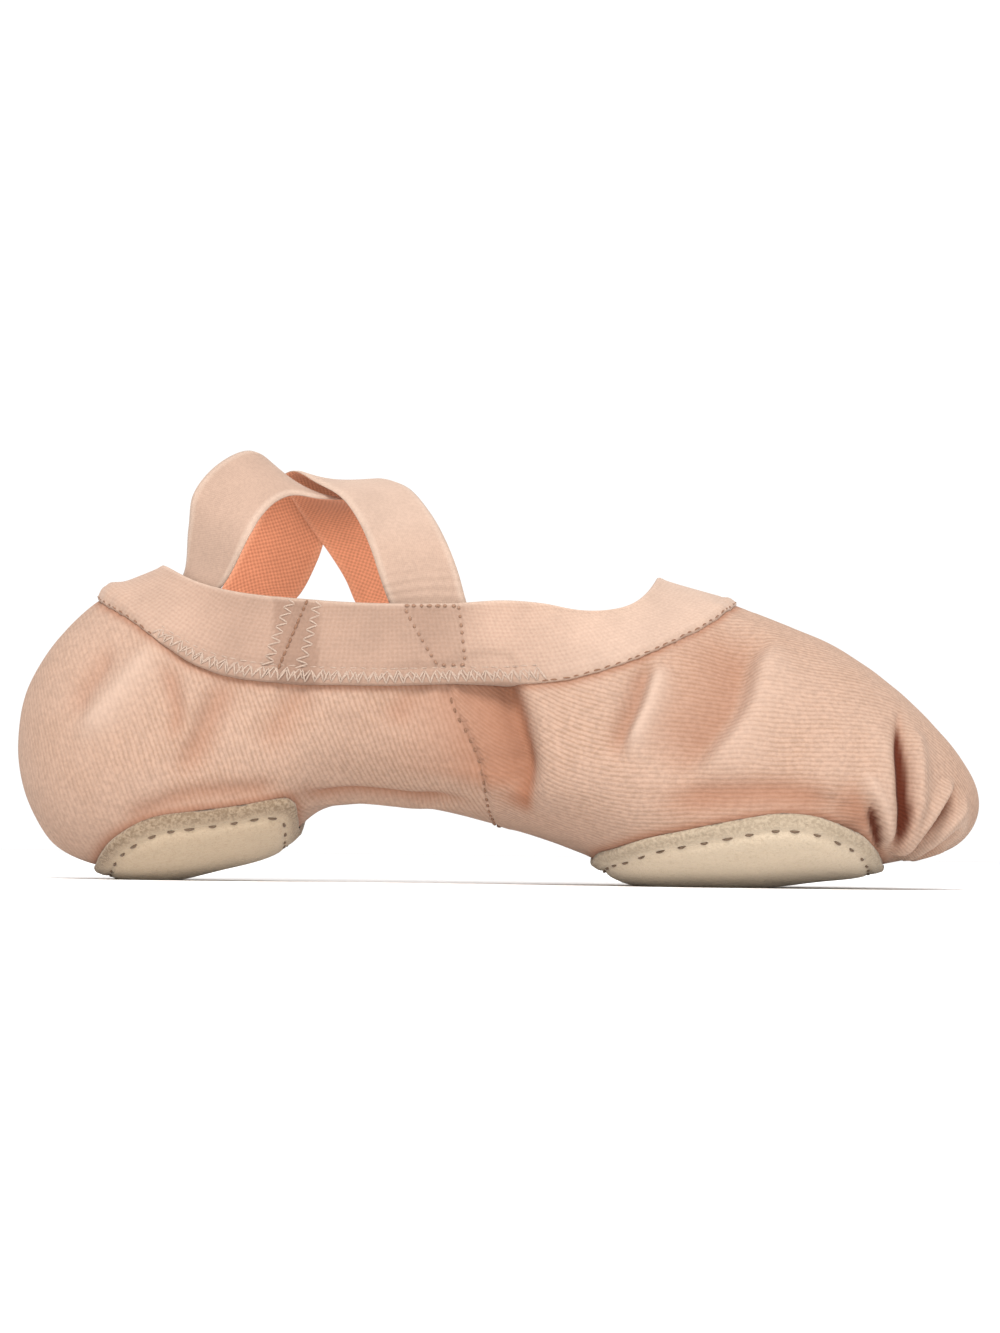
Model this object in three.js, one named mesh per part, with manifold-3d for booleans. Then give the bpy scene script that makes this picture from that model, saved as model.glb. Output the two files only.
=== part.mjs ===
// A split sole ballet slipper in stretch canvas: a hollow sock-like upper, two suede sole patches
// with a bare arch between them, a thin insole, an elastic band round the collar and two elastic
// straps that cross over the instep.
// Millimetres. +X points to the toe, +Z up, +Y to the wearer's left. The origin is on the floor,
// under the middle of the slipper's length and width. The slipper is cut straight, for either foot.

import * as THREE from "three";
import { mergeVertices } from "three/addons/utils/BufferGeometryUtils.js";
import Module from "manifold-3d";

const wasm = await Module();
wasm.setup();

// Driving dimensions
const LENGTH = 235; // heel back to toe tip
const BALL_WIDTH = 71; // across the upper at the ball of the foot
const INSTEP_HEIGHT = 76; // floor to the top of the band at the throat

// Materials' thicknesses
const CANVAS_WALL = 1.2;
const SUEDE = 2;
const INSOLE_SHEET = 1.5;
const ELASTIC = 1.1;
const GAP = 0.3; // between two pieces sewn together
const ELASTIC_WIDTH = 18.5; // of a strap
const BAND_OVERLAP = 0.22; // share of the band's width that lies over the canvas
const STRAP_TAIL = 0.3; // share of the band's width where a strap's sewn end stops

// Mid seam, where the forefoot canvas is sewn to the heel canvas
const SEAM_WIDTH = 2.6;
const SEAM_PROUD = 0.7;

// How full a section is above and below its widest line: 2 is an ellipse, more is squarer
const UPPER_FULLNESS = 2.05;
const LOWER_FULLNESS = 2.1;

// Facets
const STATIONS = 42; // along the last
const ROUND = 28; // round a section
const STATION_EVENING = 0.4; // 0 spaces stations by the cosine rule, more evens them out
const BAND_COLUMNS = 68;
const BAND_ROWS = 3;
const STRAP_COLUMNS = 4;
const STRAP_STEPS = 3; // between two rows of a strap's table
const INSOLE_COLUMNS = 6;
const LINE_STEPS = 40; // along a line drawn on the side view
const CUTTER_REACH = 200; // how far a cutter passes beyond the slipper

// The last, section by section. at: share of LENGTH from the heel. half: share of half BALL_WIDTH.
// sole, widest, crown: heights of the lowest, widest and highest points, shares of INSTEP_HEIGHT.
// Between the band's two ends the crown only leads the walls inwards: the collar is cut below it.
const LAST = [
  { at: 0.0, sole: 0.44, widest: 0.44, crown: 0.44, half: 0.0 },
  { at: 0.0064, sole: 0.295, widest: 0.434, crown: 0.587, half: 0.211 },
  { at: 0.023, sole: 0.172, widest: 0.421, crown: 0.704, half: 0.389 },
  { at: 0.0417, sole: 0.101, widest: 0.408, crown: 0.785, half: 0.513 },
  { at: 0.0834, sole: 0.043, widest: 0.395, crown: 0.901, half: 0.662 },
  { at: 0.146, sole: 0.02, widest: 0.395, crown: 0.99, half: 0.746 },
  { at: 0.213, sole: 0.064, widest: 0.434, crown: 1.09, half: 0.749 },
  { at: 0.268, sole: 0.118, widest: 0.49, crown: 1.15, half: 0.73 },
  { at: 0.319, sole: 0.235, widest: 0.55, crown: 1.185, half: 0.704 },
  { at: 0.391, sole: 0.256, widest: 0.579, crown: 1.21, half: 0.69 },
  { at: 0.5, sole: 0.188, widest: 0.5, crown: 1.197, half: 0.761 },
  { at: 0.583, sole: 0.108, widest: 0.408, crown: 1.118, half: 0.859 },
  { at: 0.634, sole: 0.038, widest: 0.355, crown: 1.028, half: 0.93 },
  { at: 0.666, sole: 0.02, widest: 0.336, crown: 0.972, half: 0.965 },
  { at: 0.749, sole: 0.02, widest: 0.316, crown: 0.898, half: 1.0 },
  { at: 0.834, sole: 0.05, widest: 0.296, crown: 0.801, half: 0.963 },
  { at: 0.875, sole: 0.064, widest: 0.292, crown: 0.729, half: 0.887 },
  { at: 0.917, sole: 0.088, widest: 0.289, crown: 0.634, half: 0.761 },
  { at: 0.957, sole: 0.112, widest: 0.283, crown: 0.512, half: 0.549 },
  { at: 0.9855, sole: 0.166, widest: 0.276, crown: 0.395, half: 0.31 },
  { at: 1.0, sole: 0.272, widest: 0.272, crown: 0.272, half: 0.0 },
];

// The band's sewn lower edge and its free upper edge, seen from the side: shares as in LAST
const BAND_SEWN_EDGE = [
  { at: 0.06, height: 0.955 },
  { at: 0.08, height: 0.896 },
  { at: 0.125, height: 0.812 },
  { at: 0.1625, height: 0.726 },
  { at: 0.198, height: 0.663 },
  { at: 0.2495, height: 0.625 },
  { at: 0.3495, height: 0.614 },
  { at: 0.45, height: 0.623 },
  { at: 0.55, height: 0.629 },
  { at: 0.6, height: 0.664 },
  { at: 0.65, height: 0.724 },
  { at: 0.702, height: 0.811 },
  { at: 0.745, height: 0.9 },
  { at: 0.77, height: 0.96 },
];
const BAND_FREE_EDGE = [
  { at: 0.14, height: 1.03 },
  { at: 0.154, height: 0.992 },
  { at: 0.1945, height: 0.931 },
  { at: 0.2475, height: 0.897 },
  { at: 0.349, height: 0.874 },
  { at: 0.45, height: 0.875 },
  { at: 0.5, height: 0.885 },
  { at: 0.5405, height: 0.876 },
  { at: 0.58, height: 0.853 },
  { at: 0.61, height: 0.856 },
  { at: 0.6335, height: 0.88 },
  { at: 0.65, height: 0.928 },
  { at: 0.667, height: 1.01 },
];

// Edges of the two suede patches, seen from the side, from their back end to their front end
const FOREFOOT_SOLE_EDGE = [
  { at: 0.6, height: 0.04 },
  { at: 0.6005, height: 0.1 },
  { at: 0.621, height: 0.124 },
  { at: 0.65, height: 0.155 },
  { at: 0.6995, height: 0.187 },
  { at: 0.7475, height: 0.216 },
  { at: 0.7825, height: 0.231 },
  { at: 0.817, height: 0.222 },
  { at: 0.849, height: 0.187 },
  { at: 0.874, height: 0.148 },
  { at: 0.906, height: 0.05 },
];
const HEEL_SOLE_EDGE = [
  { at: 0.078, height: 0.02 },
  { at: 0.1025, height: 0.112 },
  { at: 0.1255, height: 0.161 },
  { at: 0.157, height: 0.2 },
  { at: 0.1965, height: 0.22 },
  { at: 0.237, height: 0.238 },
  { at: 0.2665, height: 0.257 },
  { at: 0.284, height: 0.267 },
  { at: 0.292, height: 0.25 },
  { at: 0.2925, height: 0.198 },
  { at: 0.286, height: 0.09 },
];
const SOLE_OPENING = 0.7; // share of a patch's outline that is open in the canvas above it
const INSOLE_RISE = 8; // how far the insole's edge climbs the wall
const INSOLE_ROUNDING = 0.35; // how soon its rim climbs from its two ends
const INSOLE_ENDS = { back: 4, front: 38 }; // stations of the last

// The mid seam from the band down and under the arch, seen from the side
const MID_SEAM = [
  { at: 0.452, height: 0.601 },
  { at: 0.4675, height: 0.485 },
  { at: 0.4845, height: 0.352 },
  { at: 0.498, height: 0.199 },
  { at: 0.506, height: 0.08 },
];

// The straps. from, to: shares of LENGTH where they leave the band; lean: how far towards the toe
// their sewn end lies from there; gather: how narrow it is drawn. x, y, z: the middle of the strap
// between its two ends; across: the way its width points, from its heel side to its toe side.
const STRAPS = {
  strap_under: {
    from: { at: 0.187, side: -1, lean: -5, gather: 0.66 },
    to: { at: 0.4, side: 1, lean: 5, gather: 1 },
    rows: [
      { x: -68.0, y: -16.5, z: 84.0, across: [0.85, -0.51, -0.13] },
      { x: -66.2, y: -15.5, z: 90.5, across: [0.92, -0.25, -0.3] },
      { x: -61.8, y: -12.6, z: 96.3, across: [0.8, -0.3, -0.52] },
      { x: -56.1, y: -7.7, z: 99.4, across: [0.6, -0.48, -0.64] },
      { x: -50.1, y: -3.6, z: 97.0, across: [0.62, -0.64, -0.42] },
      { x: -44.2, y: 3.0, z: 93.8, across: [0.8, -0.58, -0.02] },
      { x: -39.6, y: 10.4, z: 90.8, across: [0.88, -0.3, 0.22] },
      { x: -35.0, y: 16.4, z: 86.0, across: [0.91, -0.12, 0.36] },
      { x: -31.0, y: 19.8, z: 80.0, across: [0.91, -0.05, 0.41] },
      { x: -28.0, y: 21.6, z: 73.6, across: [0.92, -0.05, 0.39] },
    ],
  },
  strap_over: {
    from: { at: 0.427, side: -1, lean: 3, gather: 1 },
    to: { at: 0.222, side: 1, lean: -8, gather: 0.9 },
    rows: [
      { x: -19.4, y: -21.6, z: 73.0, across: [0.99, 0.0, 0.12] },
      { x: -22.4, y: -19.6, z: 81.2, across: [0.98, 0.1, 0.06] },
      { x: -26.2, y: -15.6, z: 88.6, across: [0.94, 0.3, 0.1] },
      { x: -31.4, y: -9.0, z: 95.0, across: [0.82, 0.5, 0.2] },
      { x: -38.6, y: -1.0, z: 98.3, across: [0.72, 0.68, 0.12] },
      { x: -45.4, y: 7.2, z: 98.2, across: [0.74, 0.6, -0.32] },
      { x: -50.6, y: 13.4, z: 94.0, across: [0.8, 0.45, -0.42] },
      { x: -54.2, y: 18.0, z: 85.8, across: [0.83, 0.16, -0.54] },
      { x: -59.0, y: 20.4, z: 77.0, across: [0.83, 0.06, -0.56] },
    ],
  },
};

// Colours and finishes
const CANVAS = { color: 0xe3b495, roughness: 0.9, metalness: 0 };
const ELASTIC_FINISH = { color: 0xe2b69b, roughness: 0.8, metalness: 0 };
const SUEDE_FINISH = { color: 0xc9b594, roughness: 0.95, metalness: 0 };
const LINING_FINISH = { color: 0xe0bfa6, roughness: 0.9, metalness: 0 };

// One column of a table at a place, by a cubic curve through the rows
function read(table, column, place, placeOf) {
  const spot = (i) => placeOf(table[i]);
  const slope = (i) => {
    const a = Math.max(i - 1, 0);
    const b = Math.min(i + 1, table.length - 1);
    return (table[b][column] - table[a][column]) / (spot(b) - spot(a));
  };
  let i = 0;
  while (i < table.length - 2 && place > spot(i + 1)) i += 1;
  const span = spot(i + 1) - spot(i);
  const u = (place - spot(i)) / span;
  const v = 1 - u;
  return (
    v * v * (1 + 2 * u) * table[i][column] +
    u * u * (1 + 2 * v) * table[i + 1][column] +
    u * v * span * (v * slope(i) - u * slope(i + 1))
  );
}

// Round ends make a section shrink as the square root of its distance from the end. The turn is a
// measure of length in which that is a straight line: 0 at the heel's back, 1 at the toe's tip.
const turnOf = (at) => Math.acos(1 - 2 * at) / Math.PI;
const shareOf = (turn) => (1 - Math.cos(Math.PI * turn)) / 2;
const alongOf = (at) => LENGTH * (at - 0.5);

function sectionAt(turn) {
  const column = (name) => read(LAST, name, turn, (row) => turnOf(row.at));
  return {
    along: alongOf(shareOf(turn)),
    sole: INSTEP_HEIGHT * column("sole"),
    widest: INSTEP_HEIGHT * column("widest"),
    crown: INSTEP_HEIGHT * column("crown"),
    half: (BALL_WIDTH / 2) * column("half"),
  };
}

const power = (value, exponent) => Math.sign(value) * Math.abs(value) ** exponent;

// A point of the last. angle: 0 at the crown, a quarter turn at the side, a half turn at the sole.
function onLast(turn, angle) {
  const section = sectionAt(turn);
  const above = Math.cos(angle) >= 0;
  const exponent = 2 / (above ? UPPER_FULLNESS : LOWER_FULLNESS);
  const reach = above ? section.crown - section.widest : section.widest - section.sole;
  return new THREE.Vector3(
    section.along,
    section.half * power(Math.sin(angle), exponent),
    section.widest + reach * power(Math.cos(angle), exponent),
  );
}

// A point at a distance outside the last, or inside it where the distance is negative
function besideLast(turn, angle, distance) {
  const step = 0.004;
  const along = onLast(turn + step, angle).sub(onLast(turn - step, angle));
  const round = onLast(turn, angle + step).sub(onLast(turn, angle - step));
  const outward = along.cross(round).normalize();
  return onLast(turn, angle).addScaledVector(outward, distance);
}

// A closed mesh of points and triangles as a solid for cutting and joining
function solidOf(geometry) {
  const bare = new THREE.BufferGeometry();
  bare.setAttribute("position", geometry.getAttribute("position"));
  bare.setIndex(geometry.getIndex());
  const merged = mergeVertices(bare, 1e-4);
  return new wasm.Manifold(
    new wasm.Mesh({
      numProp: 3,
      vertProperties: new Float32Array(merged.attributes.position.array),
      triVerts: new Uint32Array(merged.index.array),
    }),
  );
}

function geometryOf(solid) {
  const mesh = solid.getMesh();
  const geometry = new THREE.BufferGeometry();
  geometry.setAttribute("position", new THREE.BufferAttribute(mesh.vertProperties, 3));
  geometry.setIndex(new THREE.BufferAttribute(mesh.triVerts, 1));
  return geometry;
}

function geometryFrom(points, triangles) {
  const geometry = new THREE.BufferGeometry().setFromPoints(points);
  geometry.setIndex(triangles);
  return geometry;
}

// The turn at a station, counted from the heel
function stationTurn(station) {
  const even = station / STATIONS;
  return even + (STATION_EVENING * Math.sin(2 * Math.PI * even)) / (2 * Math.PI);
}

// The whole last as a solid, grown or shrunk by a distance
function lastSolid(distance) {
  const points = [];
  for (let i = 1; i < STATIONS; i += 1) {
    for (let j = 0; j < ROUND; j += 1) {
      points.push(besideLast(stationTurn(i), (2 * Math.PI * j) / ROUND, distance));
    }
  }
  const heel = points.length;
  const toe = heel + 1;
  points.push(onLast(0, 0).add(new THREE.Vector3(-distance, 0, 0)));
  points.push(onLast(1, 0).add(new THREE.Vector3(distance, 0, 0)));
  const triangles = [];
  for (let j = 0; j < ROUND; j += 1) {
    const next = (j + 1) % ROUND;
    const lastRing = (STATIONS - 2) * ROUND;
    triangles.push(heel, j, next);
    triangles.push(toe, lastRing + next, lastRing + j);
    for (let i = 0; i < STATIONS - 2; i += 1) {
      const a = i * ROUND;
      const b = a + ROUND;
      triangles.push(a + j, b + next, a + next, a + j, b + j, b + next);
    }
  }
  return solidOf(geometryFrom(points, triangles));
}

const skins = new Map();

// The layer of the last between two distances from its surface
function layer(inner, outer) {
  for (const distance of [inner, outer]) {
    if (!skins.has(distance)) skins.set(distance, lastSolid(distance));
  }
  return skins.get(outer).subtract(skins.get(inner));
}

// A shape on the side view, as a block through the whole width
function sideBlock(outline) {
  const shape = new THREE.Shape(outline.map((p) => new THREE.Vector2(p.x, p.z)));
  const block = new THREE.ExtrudeGeometry(shape, { depth: 2 * CUTTER_REACH, bevelEnabled: false });
  block.rotateX(Math.PI / 2);
  block.translate(0, CUTTER_REACH, 0);
  return solidOf(mergeVertices(block));
}

// A table's line on the side view, from its first row to its last
function sideLine(table) {
  const line = [];
  for (let i = 0; i <= LINE_STEPS; i += 1) {
    const row = ((table.length - 1) * i) / LINE_STEPS;
    const column = (name) => read(table, name, row, (r) => table.indexOf(r));
    line.push({ x: alongOf(column("at")), z: INSTEP_HEIGHT * column("height") });
  }
  return line;
}

// One edge of the band. round: 0 at the throat, a half turn at the heel's back. The edge meets the
// crown at both ends, and in between its height on the side view gives its angle on the section.
function bandEdge(table) {
  const height = (at) => INSTEP_HEIGHT * read(table, "height", at, (row) => row.at);
  const clearance = (at) => sectionAt(turnOf(at)).crown - height(at);
  const meet = (outside, inside) => {
    for (let i = 0; i < 40; i += 1) {
      const middle = (outside + inside) / 2;
      if (clearance(middle) > 0) inside = middle;
      else outside = middle;
    }
    return inside;
  };
  const centre = (table[0].at + table[table.length - 1].at) / 2;
  const back = meet(table[0].at, centre);
  const front = meet(table[table.length - 1].at, centre);
  return (round) => {
    const at = (front + back) / 2 + ((front - back) / 2) * Math.cos(round);
    const turn = turnOf(at);
    const section = sectionAt(turn);
    const rise = (height(at) - section.widest) / (section.crown - section.widest);
    const upright = Math.min(power(rise, UPPER_FULLNESS / 2), 1);
    return { turn, angle: Math.acos(upright) * Math.sign(Math.sin(round)) };
  };
}

const sewnEdge = bandEdge(BAND_SEWN_EDGE);
const freeEdge = bandEdge(BAND_FREE_EDGE);

// A point in the band's strip of the last. across: 0 at the sewn edge, 1 at the free edge.
function onBand(round, across, distance) {
  const low = sewnEdge(round);
  const high = freeEdge(round);
  const turn = low.turn + (high.turn - low.turn) * across;
  return besideLast(turn, low.angle + (high.angle - low.angle) * across, distance);
}

// Where along the band, on one side, its free edge stands at a share of the length
function roundAt(at, side) {
  let front = 0;
  let back = Math.PI;
  for (let i = 0; i < 40; i += 1) {
    const middle = (front + back) / 2;
    if (shareOf(freeEdge(middle).turn) > at) front = middle;
    else back = middle;
  }
  return side * front;
}

// The canvas: the last's wall, open at the collar and over the two patches, with the mid seam's ridge
function upper() {
  const edge = [];
  for (let i = 0; i <= LINE_STEPS; i += 1) {
    edge.push(onBand(Math.PI * (1 - i / LINE_STEPS), BAND_OVERLAP, 0));
  }
  const lift = (p, z) => new THREE.Vector3(p.x, 0, z);
  const collar = [...edge, lift(edge[LINE_STEPS], CUTTER_REACH), lift(edge[0], CUTTER_REACH)];
  const wall = layer(-CANVAS_WALL, 0).subtract(sideBlock(collar));
  const opened = [FOREFOOT_SOLE_EDGE, HEEL_SOLE_EDGE].reduce(
    (solid, table) => solid.subtract(sideBlock(soleOutline(table, SOLE_OPENING))),
    wall,
  );
  return opened.add(midSeam());
}

function midSeam() {
  const line = sideLine(MID_SEAM);
  const shifted = (by) => line.map((p) => ({ x: p.x + by, z: p.z }));
  const strip = [...shifted(-SEAM_WIDTH / 2), ...shifted(SEAM_WIDTH / 2).reverse()];
  return layer(-CANVAS_WALL, SEAM_PROUD).intersect(sideBlock(strip));
}

// A patch's outline on the side view, closed below the floor and drawn in towards its middle
function soleOutline(table, share) {
  const line = sideLine(table);
  const first = line[0];
  const last = line[line.length - 1];
  const middle = (first.x + last.x) / 2;
  const drawn = line.map((p) => ({ x: middle + (p.x - middle) * share, z: p.z * share }));
  const below = (p) => ({ x: p.x, z: -CUTTER_REACH });
  return [...drawn, below(drawn[drawn.length - 1]), below(drawn[0])];
}

// A suede patch: a layer outside the canvas, flat where it stands on the floor
function solePatch(table) {
  const patch = layer(GAP, GAP + SUEDE).intersect(sideBlock(soleOutline(table, 1)));
  return patch.trimByPlane([0, 0, 1], 0);
}

// The two faces of a piece at one place along it, as one closed loop of points round its section
function loopOf(columns, inner, outer) {
  const face = (point) => Array.from({ length: columns + 1 }, (_, j) => point(j / columns));
  return [...face(inner), ...face(outer).reverse()];
}

// A skin over a row of loops. A ring's last loop meets its first; a strip is closed at both ends.
function skinOver(loops, isRing) {
  const size = loops[0].length;
  const triangles = [];
  for (let i = 0; i < (isRing ? loops.length : loops.length - 1); i += 1) {
    const a = i * size;
    const b = ((i + 1) % loops.length) * size;
    for (let j = 0; j < size; j += 1) {
      const k = (j + 1) % size;
      triangles.push(a + j, b + k, b + j, a + j, a + k, b + k);
    }
  }
  const end = (loops.length - 1) * size;
  for (let j = 0; !isRing && j < size / 2 - 1; j += 1) {
    const k = size - 1 - j;
    triangles.push(j, k, j + 1, j + 1, k, k - 1);
    triangles.push(end + j, end + j + 1, end + k, end + j + 1, end + k - 1, end + k);
  }
  return geometryFrom(loops.flat(), triangles);
}

// The insole: a sheet along the bottom of the wall's inside, as wide as its rim is above the sole
function insole() {
  const outside = -CANVAS_WALL - GAP;
  const loops = [];
  for (let i = INSOLE_ENDS.back; i <= INSOLE_ENDS.front; i += 1) {
    const turn = stationTurn(i);
    const { sole, widest } = sectionAt(turn);
    const along = (i - INSOLE_ENDS.back + 0.5) / (INSOLE_ENDS.front - INSOLE_ENDS.back + 1);
    const ends = Math.sin(Math.PI * along) ** INSOLE_ROUNDING;
    const drop = 1 - (INSOLE_RISE * ends) / (widest - sole);
    const spread = Math.acos(power(drop, LOWER_FULLNESS / 2));
    const face = (distance) => (w) => besideLast(turn, Math.PI + spread * (2 * w - 1), distance);
    loops.push(loopOf(INSOLE_COLUMNS, face(outside - INSOLE_SHEET), face(outside)));
  }
  return skinOver(loops, false);
}

function collarBand() {
  const loops = [];
  for (let i = 0; i < BAND_COLUMNS; i += 1) {
    const round = Math.PI * ((2 * i + 1) / BAND_COLUMNS - 1);
    const face = (distance) => (across) => onBand(round, across, distance);
    loops.push(loopOf(BAND_ROWS, face(GAP), face(GAP + ELASTIC)));
  }
  return skinOver(loops, true);
}

// A strap's middle surface as rows of points across its width, heel side first
function strapRows({ from, to, rows }) {
  const places = Array.from({ length: STRAP_COLUMNS + 1 }, (_, j) => j / STRAP_COLUMNS - 0.5);
  const across = (make) => places.map(make);
  const sewnEnd = ({ at, side, lean, gather }) => {
    const middle = roundAt(at, side);
    return [STRAP_TAIL, (1 + STRAP_TAIL) / 2, 1].map((share) => {
      const step = 0.02;
      const span = onBand(middle - step, share, 0).distanceTo(onBand(middle + step, share, 0));
      const ahead = (mm) => middle - (side * mm * 2 * step) / span;
      const shift = (lean * (1 - share)) / (1 - STRAP_TAIL);
      const width = gather * ELASTIC_WIDTH;
      return across((w) => onBand(ahead(w * width + shift), share, -(ELASTIC + GAP) / 2));
    });
  };
  const free = rows.map((row) => {
    const middle = new THREE.Vector3(row.x, row.y, row.z);
    const width = new THREE.Vector3(...row.across).setLength(ELASTIC_WIDTH);
    return across((w) => middle.clone().addScaledVector(width, w));
  });
  const knots = [...sewnEnd(from), ...free, ...sewnEnd(to).reverse()];
  const lines = across((_, j) => new THREE.CatmullRomCurve3(knots.map((row) => row[j])));
  const steps = (knots.length - 1) * STRAP_STEPS;
  return Array.from({ length: steps + 1 }, (_, i) => lines.map((line) => line.getPoint(i / steps)));
}

// A strap: its middle surface grown to both sides along the normal
function strap(table) {
  const rows = strapRows(table);
  const clamp = (value, top) => Math.min(Math.max(value, 0), top);
  const point = (i, j) => rows[clamp(i, rows.length - 1)][clamp(j, STRAP_COLUMNS)];
  const grown = (i, j, distance) => {
    const along = point(i + 1, j).clone().sub(point(i - 1, j));
    const across = point(i, j + 1).clone().sub(point(i, j - 1));
    return point(i, j).clone().addScaledVector(along.cross(across).normalize(), distance);
  };
  const loops = rows.map((_, i) => {
    const face = (distance) => (w) => grown(i, Math.round(w * STRAP_COLUMNS), distance);
    return loopOf(STRAP_COLUMNS, face(-ELASTIC / 2), face(ELASTIC / 2));
  });
  return skinOver(loops, false);
}

const slipper = new THREE.Group();

function addPiece(name, geometry, finish) {
  const piece = new THREE.Mesh(geometry, new THREE.MeshStandardMaterial(finish));
  piece.name = name;
  slipper.add(piece);
}

addPiece("upper", geometryOf(upper()), CANVAS);
addPiece("forefoot_sole", geometryOf(solePatch(FOREFOOT_SOLE_EDGE)), SUEDE_FINISH);
addPiece("heel_sole", geometryOf(solePatch(HEEL_SOLE_EDGE)), SUEDE_FINISH);
addPiece("insole", insole(), LINING_FINISH);
addPiece("collar_band", collarBand(), ELASTIC_FINISH);
for (const [name, table] of Object.entries(STRAPS)) {
  addPiece(name, strap(table), ELASTIC_FINISH);
}

export default slipper;
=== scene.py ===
"""Looks of a split sole ballet slipper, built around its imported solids.

Shapes are worked out in millimetres on the slipper's last and become metres in the meshes.
X runs from the heel to the toe, Y to the wearer's left and Z up from the floor.
"""
import logging
import math
from dataclasses import dataclass, field
from enum import Enum

import bpy
import numpy as np
from mathutils import Matrix, Vector, noise


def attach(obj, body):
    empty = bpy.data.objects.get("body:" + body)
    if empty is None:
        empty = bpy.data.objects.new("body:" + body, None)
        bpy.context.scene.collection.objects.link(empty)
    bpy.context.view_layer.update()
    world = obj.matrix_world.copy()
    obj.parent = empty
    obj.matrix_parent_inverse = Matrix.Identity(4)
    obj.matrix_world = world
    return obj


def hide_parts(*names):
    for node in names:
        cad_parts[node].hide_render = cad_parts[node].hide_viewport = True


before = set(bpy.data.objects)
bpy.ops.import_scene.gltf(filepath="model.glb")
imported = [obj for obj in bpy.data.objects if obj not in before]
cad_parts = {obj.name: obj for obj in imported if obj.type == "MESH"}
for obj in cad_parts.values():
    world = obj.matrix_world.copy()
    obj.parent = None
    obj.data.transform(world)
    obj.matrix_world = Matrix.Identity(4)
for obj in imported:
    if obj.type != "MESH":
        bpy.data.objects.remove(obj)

LOG = logging.getLogger("slipper")
MM = 0.001
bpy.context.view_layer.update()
Array = np.ndarray
Pair = tuple[float, float]
Triple = tuple[float, float, float]
Colour = Triple
Rows = tuple[tuple[float, ...], ...]
Faces = list[tuple[int, ...]]
Mesh = tuple[Array, Faces]
Material = bpy.types.Material
Node = bpy.types.Node
Tree = bpy.types.NodeTree
Socket = bpy.types.NodeSocket


class Side(Enum):
    """Which side of the slipper a feature is on."""

    NEAR = -1
    FAR = 1


class Lie(Enum):
    """Whether a fold sinks into the cloth or stands out of it."""

    TROUGH = -1
    RIDGE = 1


class Slot(Enum):
    """The record's material slots."""

    CANVAS = "canvas"
    SUEDE = "suede"
    LINING = "lining"
    ELASTIC = "elastic"


# Curves and meshes


def read_rows(knots: Array, values: Array, places: Array) -> Array:
    """Reads a table between its rows along smooth cubics.

    Args:
        knots: Rising places of the rows.
        values: The rows' values.
        places: Where to read.

    Returns:
        The values at the places.
    """
    places = np.asarray(places, float)
    count = len(knots)
    row = np.clip(np.searchsorted(knots, places, side="left") - 1, 0, count - 2)
    before = np.maximum(np.arange(count) - 1, 0)
    after = np.minimum(np.arange(count) + 1, count - 1)
    slope = (values[after] - values[before]) / (knots[after] - knots[before])
    span = knots[row + 1] - knots[row]
    u = (places - knots[row]) / span
    v = 1 - u
    bend = u * v * span * (v * slope[row] - u * slope[row + 1])
    return v * v * (1 + 2 * u) * values[row] + u * u * (1 + 2 * v) * values[row + 1] + bend


def signed_power(value: Array, exponent: Array) -> Array:
    """Raises a size to a power and keeps its sign."""
    return np.sign(value) * np.abs(value) ** exponent


def ease(value: Array) -> Array:
    """Runs smoothly from 0 to 1 as value does, and stays there."""
    value = np.clip(value, 0, 1)
    return value * value * (3 - 2 * value)


def unit(vectors: Array) -> Array:
    """Scales vectors to length one."""
    return vectors / np.maximum(np.linalg.norm(vectors, axis=-1, keepdims=True), 1e-9)


@dataclass(frozen=True)
class Swell:
    """A rounded rise across a surface, by its height, where its middle is and its breadth."""

    height: float
    middle: float
    breadth: float

    def over(self, places: Array) -> Array:
        """How high it stands at places across the surface."""
        return self.height * np.exp(-(((places - self.middle) / self.breadth) ** 2))


def arc_lengths(points: Array) -> Array:
    """Length along a line up to each of its points."""
    steps = np.linalg.norm(np.diff(points, axis=0), axis=-1)
    return np.concatenate([[0.0], np.cumsum(steps)])


def at_lengths(rows: Array, arcs: Array, lengths: Array) -> Array:
    """Points of a line, or rows that go with its points, at lengths along it."""
    return np.stack([np.interp(lengths, arcs, column) for column in rows.T], -1)


def centripetal(points: Array, steps: int) -> Array:
    """A smooth curve through points that doesn't overshoot between close ones.

    Args:
        points: The points it passes.
        steps: Samples between two points.

    Returns:
        The sampled curve.
    """
    padded = np.vstack([2 * points[0] - points[1], points, 2 * points[-1] - points[-2]])
    share = (np.arange(steps) / steps)[:, None]
    pieces = []
    for a, b, c, d in zip(padded, padded[1:], padded[2:], padded[3:]):
        first, middle, last = (np.linalg.norm(q - p) ** 0.5 for p, q in ((a, b), (b, c), (c, d)))
        leave = ((b - a) / first - (c - a) / (first + middle) + (c - b) / middle) * middle
        arrive = ((c - b) / middle - (d - b) / (middle + last) + (d - c) / last) * middle
        square = -3 * b + 3 * c - 2 * leave - arrive
        cube = 2 * b - 2 * c + leave + arrive
        pieces.append(b + leave * share + square * share**2 + cube * share**3)
    return np.vstack(pieces + [points[-1:]])


def wander(points: Array, reach: float, seed: float) -> Array:
    """Slow uneven swell between about -1 and 1, the same on every run."""
    places = (points.reshape(-1, 3) / reach + seed).tolist()
    return np.array([noise.noise(Vector(place)) for place in places]).reshape(points.shape[:-1])


def skin(index: Array) -> Faces:
    """Faces over a grid of point numbers, where repeated numbers close up a face."""
    corners = (index[:-1, :-1], index[1:, :-1], index[1:, 1:], index[:-1, 1:])
    quads = np.stack(corners, -1).reshape(-1, 4).tolist()
    faces = [tuple(dict.fromkeys(quad)) for quad in quads]
    return [face for face in faces if len(face) > 2]


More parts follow.
